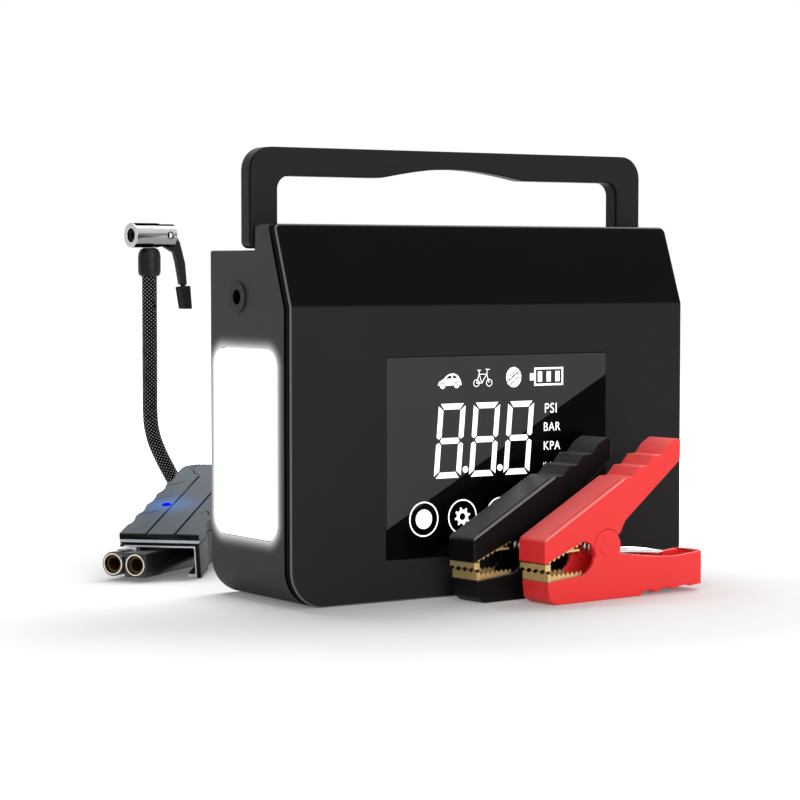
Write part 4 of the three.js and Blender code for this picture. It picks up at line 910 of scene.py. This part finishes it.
def digit_segments(left):
    """The seven segments of one digit, as loops."""
    w, h, s, g = (DIGIT[key] for key in ("width", "height", "stroke", "gap"))
    m = h / 2
    loops = [
        [(g * 1.4, h), (w - g * 1.4, h), (w - s - g * 0.6, h - s), (s + g * 0.6, h - s)],
        [(g * 1.4, 0), (s + g * 0.6, s), (w - s - g * 0.6, s), (w - g * 1.4, 0)],
        [(s * 0.5 + g, m), (s + g * 0.4, m + s / 2), (w - s - g * 0.4, m + s / 2), (w - s * 0.5 - g, m),
         (w - s - g * 0.4, m - s / 2), (s + g * 0.4, m - s / 2)],
    ]
    for end, way in ((h, 1), (0, -1)):
        upper = [(0, end - way * g * 1.4), (s, end - way * (s + g * 0.6)), (s, m + way * (s / 2 + g * 0.7)),
                 (s / 2, m + way * g), (0, m + way * (g + s * 0.35))]
        loops += [upper, [(w - x, z) for x, z in upper]]
    return [[(left + x + z * DIGIT["slant"], DIGIT["base"] + z) for x, z in loop] for loop in loops]


def make_digits():
    loops = []
    for i in range(3):
        loops += digit_segments(DIGIT["left"] + i * DIGIT["pitch"])
    for i in (1, 2):
        loops.append(circle((DIGIT["left"] + i * DIGIT["pitch"] - 1.75, DIGIT["base"] + 3.2), 1.35))
    show("display_digits", flat_sign(loops))


KEYS = {"first": -36.5, "pitch": 19.3, "z": 32.8, "radius": 7.2, "line": 0.55, "count": 5, "sign_half": 3.4,
        "sign_line": 0.6}


def gear_loop(centre, teeth, outer, inner):
    points = []
    for i in range(teeth):
        for share, radius in ((0.04, inner), (0.18, outer), (0.42, outer), (0.56, inner)):
            angle = 2 * math.pi * (i + share) / teeth
            points.append((centre[0] + radius * math.cos(angle), centre[1] + radius * math.sin(angle)))
    return points


def plus_loop(centre):
    """A plus sign, one inner corner at a time."""
    long, short = KEYS["sign_half"], KEYS["sign_line"]
    corner = [(-long, -short), (-short, -short), (-short, -long)]
    points = []
    for _ in range(4):
        points += [(centre[0] + a, centre[1] + b) for a, b in corner]
        corner = [(-b, a) for a, b in corner]
    return points


def make_keys():
    """Five touch keys: ring outlines, each with its sign."""
    places = [(KEYS["first"] + i * KEYS["pitch"], KEYS["z"]) for i in range(KEYS["count"])]
    loops = []
    for place in places:
        loops += [circle(place, KEYS["radius"], 56), circle(place, KEYS["radius"] - KEYS["line"], 56)]
    start, settings, less, more, power = places
    loops += [circle(start, 4.0), gear_loop(settings, 8, 3.9, 2.9), circle(settings, 1.5)]
    loops += [rectangle(2 * KEYS["sign_half"], 2 * KEYS["sign_line"], less), plus_loop(more)]
    x, z = power
    loops.append(rectangle(2 * KEYS["sign_line"], 3.6, (x, z + 2.2)))
    loops.append(arc((x, z - 0.3), 3.4, 60, -240, 30) + arc((x, z - 0.3), 2.4, -240, 60, 30))
    show("display_keys", flat_sign(loops))


def make_car(x, z):
    """A small car seen from the side, 12 wide."""
    body = [(0, 1.7), (0.7, 3.3), (2.6, 4.3), (4.6, 6.2), (6.2, 6.9), (8.2, 7.0), (9.9, 6.1), (11.1, 4.3),
            (11.7, 2.6), (11.8, 1.5), (11, 1.4)]
    body += arc((9.4, 1.5), 1.6, 0, 180, 10) + arc((2.4, 1.3), 1.6, 0, 180, 10)
    front_pane = [(3.9, 4.6), (5.4, 6.0), (6.9, 6.2), (6.9, 4.6)]
    rear_pane = [(7.5, 4.6), (7.5, 6.2), (8.7, 6.0), (9.9, 4.7)]
    wheels = [circle((2.4, 1.2), 1.25), circle((9.4, 1.4), 1.25)]
    return [[(x + a, z + 0.88 * b) for a, b in loop] for loop in (body, front_pane, rear_pane, *wheels)]


def make_bicycle(x, z):
    """The strokes of a bicycle, 10 wide; each is a sign of its own because they cross."""
    width = 0.27
    rear, front, crank, seat, head = (1.9, 1.9), (8.4, 1.9), (4.6, 1.9), (3.3, 5.6), (7.1, 5.4)
    lines = [(rear, seat), (seat, crank), (crank, head), (seat, head), (rear, crank), (head, front),
             ((2.4, 7.2), (4.2, 7.2)), (seat, (3.2, 7.2)), (head, (7.4, 7.4)), ((6.5, 7.6), (8.6, 7.4))]
    signs = [[[(x + a, z + b) for a, b in stroke(p, q, width)]] for p, q in lines]
    for centre in (rear, front):
        at = (x + centre[0], z + centre[1])
        signs.append([circle(at, 1.55), circle(at, 1.55 - width)])
    return signs


def make_ball(centre, radius):
    """A ball with curved seams: a lit disc with dark lines in front of it."""
    x, z = centre
    turn = math.radians(28)
    seams = []
    for offset, bend in ((-2.3, 1.1), (-0.3, 0.9), (1.1, -0.8), (2.7, -1.1)):
        line = []
        for i in range(13):
            along = -radius * 1.1 + 2.2 * radius * i / 12
            line.append((along, offset + bend * (1 - (along / radius) ** 2) + 0.28 * math.sin(along)))
        loop = [(a, b + 0.19) for a, b in line] + [(a, b - 0.19) for a, b in reversed(line)]
        seams.append(flat_sign([[(x + a * math.cos(turn) - b * math.sin(turn),
                                  z + a * math.sin(turn) + b * math.cos(turn)) for a, b in loop]]))
    show("display_ball", flat_sign([circle(centre, radius, 56, 1.08)]))
    show("display_ball_seams", joined(seams), FINISHES["display_pane"], Matrix.Translation((0, -0.05, 0)))


def make_icons():
    low, level = 85.9, 89.7
    show("display_car", flat_sign(make_car(-29.6, low)))
    show("display_bicycle", joined([flat_sign(sign) for sign in make_bicycle(-12.1, low)]))
    make_ball((8.9, 89.8), 3.9)
    battery = [rectangle(15.2, 7.6, (27.2, level)), rectangle(13.6, 6.0, (27.2, level))]
    battery += [rectangle(2.2, 4.3, (x, level)) for x in (22.6, 27.2, 31.8)]
    show("display_battery", flat_sign([*battery, rectangle(1.9, 3.0, (18.3, level))]))


def make_label(name, text, left, base, height):
    """A short word in the built-in typeface, as a mesh."""
    data = bpy.data.curves.new(name, "FONT")
    data.body = text
    data.size = height / 0.72
    data.extrude = SIGN_HALF
    data.space_character = 1.12
    narrower = Matrix.Scale(0.87, 4, (1, 0, 0))
    show(name, mesh_from(add_object(name, data)), place=upright(left, base) @ narrower)


make_digits()
make_keys()
make_icons()
make_label("display_unit_psi", "PSI", 24.9, 74.3, 4.3)
make_label("display_unit_bar", "BAR", 24.4, 66.7, 3.8)
make_label("display_unit_kpa", "KPA", 24.4, 58.7, 3.8)
make_label("display_unit_kg", "Kg/cm", 24.4, 51.3, 2.3)


# ------------------------------------------------------------------ battery clamps
SPRING = {"wire": 1.15, "half": 2.7, "spread": 4.65, "end": 71.3, "low": 16.2, "turns": 2}
JAW = {"split": 13.1, "tooth": 1.1, "teeth": 8, "half": 7.7, "gap": 1.2, "past": 0.5, "deep": 3.6}
JAW_STEP = 2 * (JAW["half"] + JAW["past"]) / JAW["teeth"]


def make_spring(colour):
    """A torsion spring: a coil round the pin and a long loop that reaches into the lower handle."""
    wire, half, spread, low, end = (SPRING[key] for key in ("wire", "half", "spread", "low", "end"))
    px, pz = CLAMP["pivot"]
    coil_radius = CLAMP["pin"] + 0.6 + wire
    steps = 20
    count = SPRING["turns"] * steps
    coil = []
    for i in range(count + 1):
        angle = math.pi * 1.5 + 2 * math.pi * i / steps
        coil.append((px + coil_radius * math.cos(angle), -half + 2 * half * i / count,
                     pz + coil_radius * math.sin(angle)))
    leg = [(px + 10, half, low + 2.1), (end - 15, spread, low + 1.9), (end - 5.5, spread * 0.94, low + 0.9),
           (end - 1.2, spread * 0.5, low + 0.2)]
    back = [(x, -y, z) for x, y, z in reversed(leg)]
    path = smooth_path([*coil, *leg, (end, 0, low), *back, (px + 1, -half, pz - coil_radius)], 0.7)
    mesh = swept(path, 14, lambda turn, distance: wire)
    dressed(f"{colour}_clamp_spring", mesh, FINISHES["spring_steel"], place=clamp_frame(colour), sharp=180)


def rim_lines():
    """Two fine grooves along the upper shell's sloping top, one near each side."""
    start, end = 4.0, CLAMP["ridge_start"] - 1.5
    low, high = (CLAMP["nose"] + CLAMP["slope"] * x for x in (start, end))
    section = [(start, low - 0.45), (end, high - 0.45), (end, high + 2), (start, low + 2)]
    return [prism(section, "y", side * 6.1 - 0.3, side * 6.1 + 0.3) for side in (-1, 1)]


def zigzag_gap():
    """The toothed slit between the two jaws at the nose."""
    line = [(i * JAW_STEP - JAW["half"] - JAW["past"], JAW["split"] + (JAW["tooth"] if i % 2 else 0))
            for i in range(JAW["teeth"] + 1)]
    half = JAW["gap"] / 2
    band = [(y, z - half) for y, z in line] + [(y, z + half) for y, z in reversed(line)]
    return prism(band, "x", -1, JAW["deep"])


def jaw_finish(colour):
    """Brass that is painted black, as shade, inside the toothed slit."""
    plain, look = METALS["jaw_brass"]
    finish = metal(colour + "_jaw_brass", plain, **look)
    along, across, up = finish.axes(finish.framed(clamp_frame(colour)))
    tooth = (across + (JAW["half"] + JAW["past"]) * MM).math("PINGPONG", JAW_STEP * MM)
    off = abs(up - tooth * (JAW["tooth"] / JAW_STEP) - JAW["split"] * MM)
    inside = (off < (JAW["gap"] / 2 + 0.03) * MM) * (along < (JAW["deep"] + 0.1) * MM)
    brass = finish.mix(finish.noise(60.0, 3.0), "#d8ba7c", "#efd08e")
    # painted shade: black inside the slit
    finish.set(Base_Color=finish.mix(inside, brass, BLACK), Metallic=inside.span(0.0, 1.0, 0.55, 0.0))
    return finish


def make_clamp(colour):
    brass = jaw_finish(colour)
    frame_of_clamp = clamp_frame(colour)
    to_clamp = frame_of_clamp.inverted()
    px, pz = CLAMP["pivot"]

    def off_pivot(edge):
        place = to_clamp @ middle(edge)
        return edge.calc_length() > 0.8 and math.hypot(place.x - px, place.z - pz) > CLAMP["lobe"]

    for part in ("upper_shell", "lower_shell"):
        node = f"{colour}_clamp_{part}"
        mesh = rounded_copy(node, [(0.55, off_pivot)])
        if part == "upper_shell":
            mesh.transform(to_clamp)
            mesh = carved(mesh, rim_lines())
            mesh.transform(frame_of_clamp)
        dressed(node, mesh, FINISHES["clamp_" + colour])
    for part in ("upper_jaw", "lower_jaw"):
        node = f"{colour}_clamp_{part}"
        mesh = rounded_copy(node, [(0.1, longer_than(0.8))], segments=1)
        mesh.transform(to_clamp)
        dressed(node, carved(mesh, [zigzag_gap()]), brass, place=frame_of_clamp)
    make_spring(colour)


make_clamp("red")
make_clamp("black")


# ------------------------------------------------------------------ lead module
LID_LINES = [
    (1.1, [(-5.6, -1), (-5.6, 87)]), (1.1, [(7.3, -1), (7.3, 87)]), (0.7, [(-17, 26.6), (-9.2, 33)]),
    (0.7, [(-17.3, 48), (-9.6, 56)]), (0.7, [(-16, 71), (-9.9, 78.5)]), (0.7, [(17.3, 48), (11, 56)]),
    (0.7, [(16, 71), (11, 78.5)]), (0.7, [(10.7, 27.8), (12, 33.7), (12.9, 33.7), (15.1, 28.7)]),
    (0.7, [(-11.1, 96.7), (-8.6, 90.6), (-6.5, 89.6)]), (0.9, [(-12.9, 97.4), (-11.8, 103.5), (-7.8, 111)]),
]                                 # (width, places as (across, along)) of the lid's grooves
LID_EDGE = {"lip": 0.45, "band": 2.8, "line": 4.1}    # down from the lid's top, at the module's front: painted shade band under the lip, painted highlight line below it
RECESS_RIM = {"wide": 0.75, "high": 0.9}              # the painted highlight round the recess


def make_module():
    cuts = []
    for width, points in LID_LINES:
        for a, b in zip(points, points[1:]):
            cuts.append(prism(stroke(a, b, width), "z", LEAD["height"] - width, LEAD["height"] + 1))
    top = rounded_copy("lead_module_top", [(0.5, longer_than(1.0))])
    top.transform(LEAD_FRAME.inverted())
    dressed("lead_module_top", carved(top, cuts), module_finish("module_lid"), place=LEAD_FRAME)
    dress_rounded("lead_module_base", 0.45, module_finish("module_base"), shortest=1.0)


def module_finish(name):
    """Grey plastic with painted light and shade: black, as shade, inside the lid's grooves and along a band
    under its front lip; below that band a painted highlight line; the front faces lower down painted near
    black, as shade, with a painted highlight round the recess; darker at the front and lighter towards the
    back, as shade and light; and a painted blue glow round the lamp."""
    colour = "#3d464e"

    def zones(finish, base):
        across, along, up = finish.axes(finish.framed(LEAD_FRAME))

        def down(depth):
            return (LEAD["height"] - depth) * MM

        inner = up.span(down(0.22), down(0.12), 1.0, 0.0) * up.span(down(1.3), down(1.2)) * (along > 0.6 * MM)
        # painted shade inside the lid's grooves
        groove = inner * finish.axes(finish.facing())[2].span(0.5, 0.6)
        front = along < 0.55 * MM
        # painted shade: a black band under the lid's front lip
        band = front * ((up < down(LID_EDGE["lip"])) * (up > down(LID_EDGE["band"])))
        # painted highlight: a light line below that band
        line = front * ((up < down(LID_EDGE["band"])) * (up > down(LID_EDGE["line"])))
        ahead = LEAD_FRAME.to_3x3() @ Vector((0, -1, 0))
        turned = finish.value("ShaderNodeVectorMath", {0: finish.facing(), 1: ahead}, output="Value",
                              operation="DOT_PRODUCT")
        below = (turned > 0.75) * (up < down(LID_EDGE["line"]))
        rim = (abs(across) - LEAD["recess_half"] * MM < RECESS_RIM["wide"] * MM) * (
            up < (LEAD["recess_height"] + RECESS_RIM["high"]) * MM)
        # painted shade on the front faces below, with a painted highlight on the recess's rim
        wall = finish.mix(rim, "#0d0f11", "#f2f6f9")
        # painted shade and light: darker at the module's front, lighter towards its back
        slope = finish.mix(along.span(45 * MM, 90 * MM), base, scaled(colour, 1.3))
        slope = finish.mix(along.span(0.0, 45 * MM), scaled(colour, 0.7), slope)
        shade = finish.mix(line, finish.mix(below, slope, wall), "#d5dbdf")
        return finish.mix(band.at_least(groove), shade, BLACK)

    finish = moulded(name, colour, roughness=0.4, specular=0.12, wear_and_sheen=1.5, paint=zones)
    on_top = finish.axes(finish.framed(LEAD_FRAME))[2] > (LEAD["height"] - 1.5) * MM
    low, high = corners_of("lead_module_led")
    centre = (low + high) / 2 * MM
    shift = finish.value("ShaderNodeVectorMath", {0: finish.place, 1: centre}, operation="SUBTRACT")
    away = finish.value("ShaderNodeVectorMath", {0: shift}, output="Value", operation="LENGTH")
    near = away.span(1 * MM, 24 * MM, 1.0, 0.0) ** 2.6
    # painted glow: the lid glows blue round the lamp
    finish.set(Emission_Color="#2f8cff", Emission_Strength=near * on_top * 0.42)
    return finish


make_module()

PLUG = {"turn": -14.0, "at": (-12.1, -15.6, 1.9), "height": 10.6, "pitch": 11.2, "bore": 4.3}


def make_plug():
    frame_of_plug = (LEAD_FLAT @ Matrix.Translation(PLUG["at"])
                     @ Matrix.Rotation(math.radians(PLUG["turn"]), 4, "Z"))
    dress_rounded("plug_body", 0.35, FINISHES["plug_plastic"], shortest=1.5)
    rim = Finish("plug_rim", 0.25, metallic=1.0)
    rim.set(Base_Color=rim.mix(rim.noise(900.0), "#cfc8b4", "#efe9d8"))
    rim.bump(rim.noise(2500.0), 0.1, 0.0001)
    bronze = metal("plug_contact_bronze", "#4a371b", roughness=0.4, metallic=0.7)
    bore = PLUG["bore"]
    for name, side in (("left", -1), ("right", 1)):
        dress_rounded(f"plug_contact_{name}", 0.1, bronze, shortest=1.5, segments=1)
        profile = [(-0.25, bore - 0.15), (-0.25, bore + 0.35), (0.3, bore + 0.55), (0.3, bore - 0.15)]
        ring = lathed(profile, "y", (side * PLUG["pitch"] / 2, PLUG["height"] / 2), closed=True)
        add_piece(f"plug_rim_{name}", ring, "root", rim, "gear_brass", place=frame_of_plug)


make_plug()


# ------------------------------------------------------------------ chuck
CHUCK = {"radius": 5.95, "front": -10.6, "length": 23.1, "z": 150.8, "turn": 5.0, "hinge_from_end": 3.9}
CHUCK_FRAME = (Matrix.Translation(LEAD_FLAT @ Vector((-41, 119.5, 0)))
               @ Matrix.Rotation(math.radians(CHUCK["turn"]), 4, "Z"))
FERRULE = {"low": 131.0, "bore": 3.75, "cup": 2.6}


def chuck_finish():
    """Polished chrome with painted reflections: dark and light bands along the barrel stand for a studio's
    dark cards and lamps. The end face is plain."""
    finish = Finish("chuck_chrome_banded", 0.12, metallic=1.0)
    along, across, up = finish.axes(finish.framed(CHUCK_FRAME))
    share = (up - CHUCK["z"] * MM).span(-CHUCK["radius"] * MM, CHUCK["radius"] * MM)
    dark, mid = "#2a2a2b", "#8d8d8e"
    # painted reflections: bands across the barrel's height
    bands = finish.ramp(share, [(0.0, dark), (0.1, dark), (0.16, mid), (0.5, "#9f9fa0"), (0.545, "#5a5a5b"),
                                (0.59, "#bdbdbd"), (0.82, "#dcdcdc"), (0.89, dark), (0.95, BLACK),
                                (1.0, BLACK)])
    barrel = along.span((CHUCK["front"] + 0.35) * MM, (CHUCK["front"] + 0.5) * MM)
    cloud = finish.noise(300.0).span(0.4, 0.6, 0.0, 0.08)
    finish.set(Base_Color=finish.mix(cloud, finish.mix(barrel, "#c9c9c9", bands), mid))
    finish.set(Specular_Tint="#6a6a6a")
    finish.bump(finish.noise(1500.0), 0.03, 0.00005)
    return finish


def chuck_pin_finish():
    """The lever's pin: a painted reflection on its polished end, black as of a dark card on one side, white as
    of the lamp on the other.
    """
    finish = Finish("chuck_pin_steel", 0.15, metallic=1.0)
    hinge = CHUCK["front"] + CHUCK["length"] - CHUCK["hinge_from_end"]
    along = finish.axes(finish.framed(CHUCK_FRAME))[0] - hinge * MM
    shade = finish.mix(finish.noise(900.0), "#f4f4f4", "#ffffff")
    # painted reflection on the pin's end
    finish.set(Base_Color=finish.mix(along.span(-0.3 * MM, 0.1 * MM), "#0c0c0c", shade))
    return finish


def ferrule_finish():
    """Dark sleeve with a painted highlight, a soft light stripe down its sides, and painted shade that darkens
    it towards one side.
    """
    def stripe(finish, base):
        share = finish.axes(finish.framed(CHUCK_FRAME))[0].span(-5.6 * MM, 5.6 * MM)
        dark = "#0b0b0c"
        # painted highlight and painted shade across the sleeve
        return finish.mix(0.85, base, finish.ramp(share, [(0.0, dark), (0.2, "#202021"), (0.36, "#474748"),
                                                          (0.5, "#2c2c2d"), (0.72, dark), (1.0, BLACK)]))

    return moulded("hose_sleeve", "#1b1b1c", roughness=0.35, specular=0.12, wear_and_sheen=1.4, paint=stripe)


def make_ferrule():
    """The sleeve at the hose's top: a long cup, rounded at its shoulder."""
    low, high = corners_of("hose_ferrule")
    radius = (high.x - low.x) / 2
    base, top, bore = FERRULE["low"], high.z, FERRULE["bore"]
    cup = base + FERRULE["cup"]
    profile = [(cup, 0.0), (cup, bore), (base, bore), (base, radius - 1.3),
               (base + 0.5, radius - 0.6), (base + 1.4, radius - 0.15), (base + 3.0, radius),
               (top - 4.2, radius), (top - 2.4, radius - 0.3), (top - 1.0, radius - 1.0),
               (top - 0.25, radius - 2.0), (top, radius - 2.8), (top, 0.0)]
    at = ((low.x + high.x) / 2, (low.y + high.y) / 2)
    return dressed("hose_ferrule", lathed(profile, "z", at), ferrule_finish(), sharp=50)


def make_chuck():
    """The chuck with its lever and the sleeve that holds the hose. Returns the pieces."""
    return [
        dress_rounded("chuck_body", 0.25, chuck_finish(), segments=2, sharp=180),
        make_ferrule(),
        dress_rounded("chuck_lever_pin", 0.2, chuck_pin_finish(), shortest=0.0, segments=2),
        dress_rounded("chuck_lever", 0.45, FINISHES["lever_plastic"]),
        dress_rounded("chuck_lever_grip", 0.5, FINISHES["soft_rubber"]),
    ]


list(make_chuck())


# ------------------------------------------------------------------ studio
FLOOR = {"tone": 0.68, "near": 0.17, "far": 0.6, "glow_near": 0.13, "glow_far": 0.9}   # distances in metres
AMBIENT = 0.35


def make_floor():
    """A white floor. Far from the object, where the lamps don't reach, its own glow keeps it white."""
    finish = Finish("floor", 0.6, specular=0.0)
    away = finish.value("ShaderNodeVectorMath", {0: finish.place}, output="Value", operation="LENGTH")
    lift = away.span(FLOOR["near"], FLOOR["far"], FLOOR["glow_near"], FLOOR["glow_far"])
    finish.set(Base_Color=(FLOOR["tone"],) * 3 + (1.0,))
    finish.set(Emission_Color=WHITE, Emission_Strength=finish.seen() * lift)
    mesh = prism(rectangle(30000, 30000), "z", -2, -0.02)
    mesh.transform(Matrix.Scale(MM, 4))
    mesh.materials.append(finish.material)
    add_object("floor", mesh)


def make_lamp(name, place, aim, size, power):
    """An area lamp; its lengths are metres and its power watts."""
    data = bpy.data.lights.new(name, "AREA")
    data.shape = "RECTANGLE"
    data.size, data.size_y = size
    data.energy = power
    lamp = add_object(name, data)
    lamp.location = place
    lamp.rotation_euler = (Vector(aim) - Vector(place)).to_track_quat("-Z", "Y").to_euler()


def make_world():
    """White where it is seen, and dimmer where it lights the object."""
    world = bpy.data.worlds.new("studio")
    scene.world = world
    studio = Tree(world)
    studio.tree.nodes.clear()
    ambient, white = (studio.value("ShaderNodeBackground", {"Color": WHITE, "Strength": strength})
                      for strength in (AMBIENT, 1.0))
    mixed = studio.value("ShaderNodeMixShader", {0: studio.seen(), 1: ambient, 2: white})
    studio.node("ShaderNodeOutputWorld", {0: mixed})


make_floor()
make_world()
make_lamp("back", (0.1, 0.75, 1.35), (0, 0, 0.03), (1.0, 0.8), 14.0)
make_lamp("right", (1.05, 0.45, 1.2), (0, 0, 0.03), (0.9, 0.9), 17.0)
make_lamp("left", (-1.7, -0.9, 0.9), (0, 0, 0.08), (1.0, 1.0), 4.0)
make_lamp("front", (-0.2, -1.9, 0.5), (0, 0, 0.08), (1.6, 0.8), 15.0)
scene.view_settings.view_transform = "Standard"
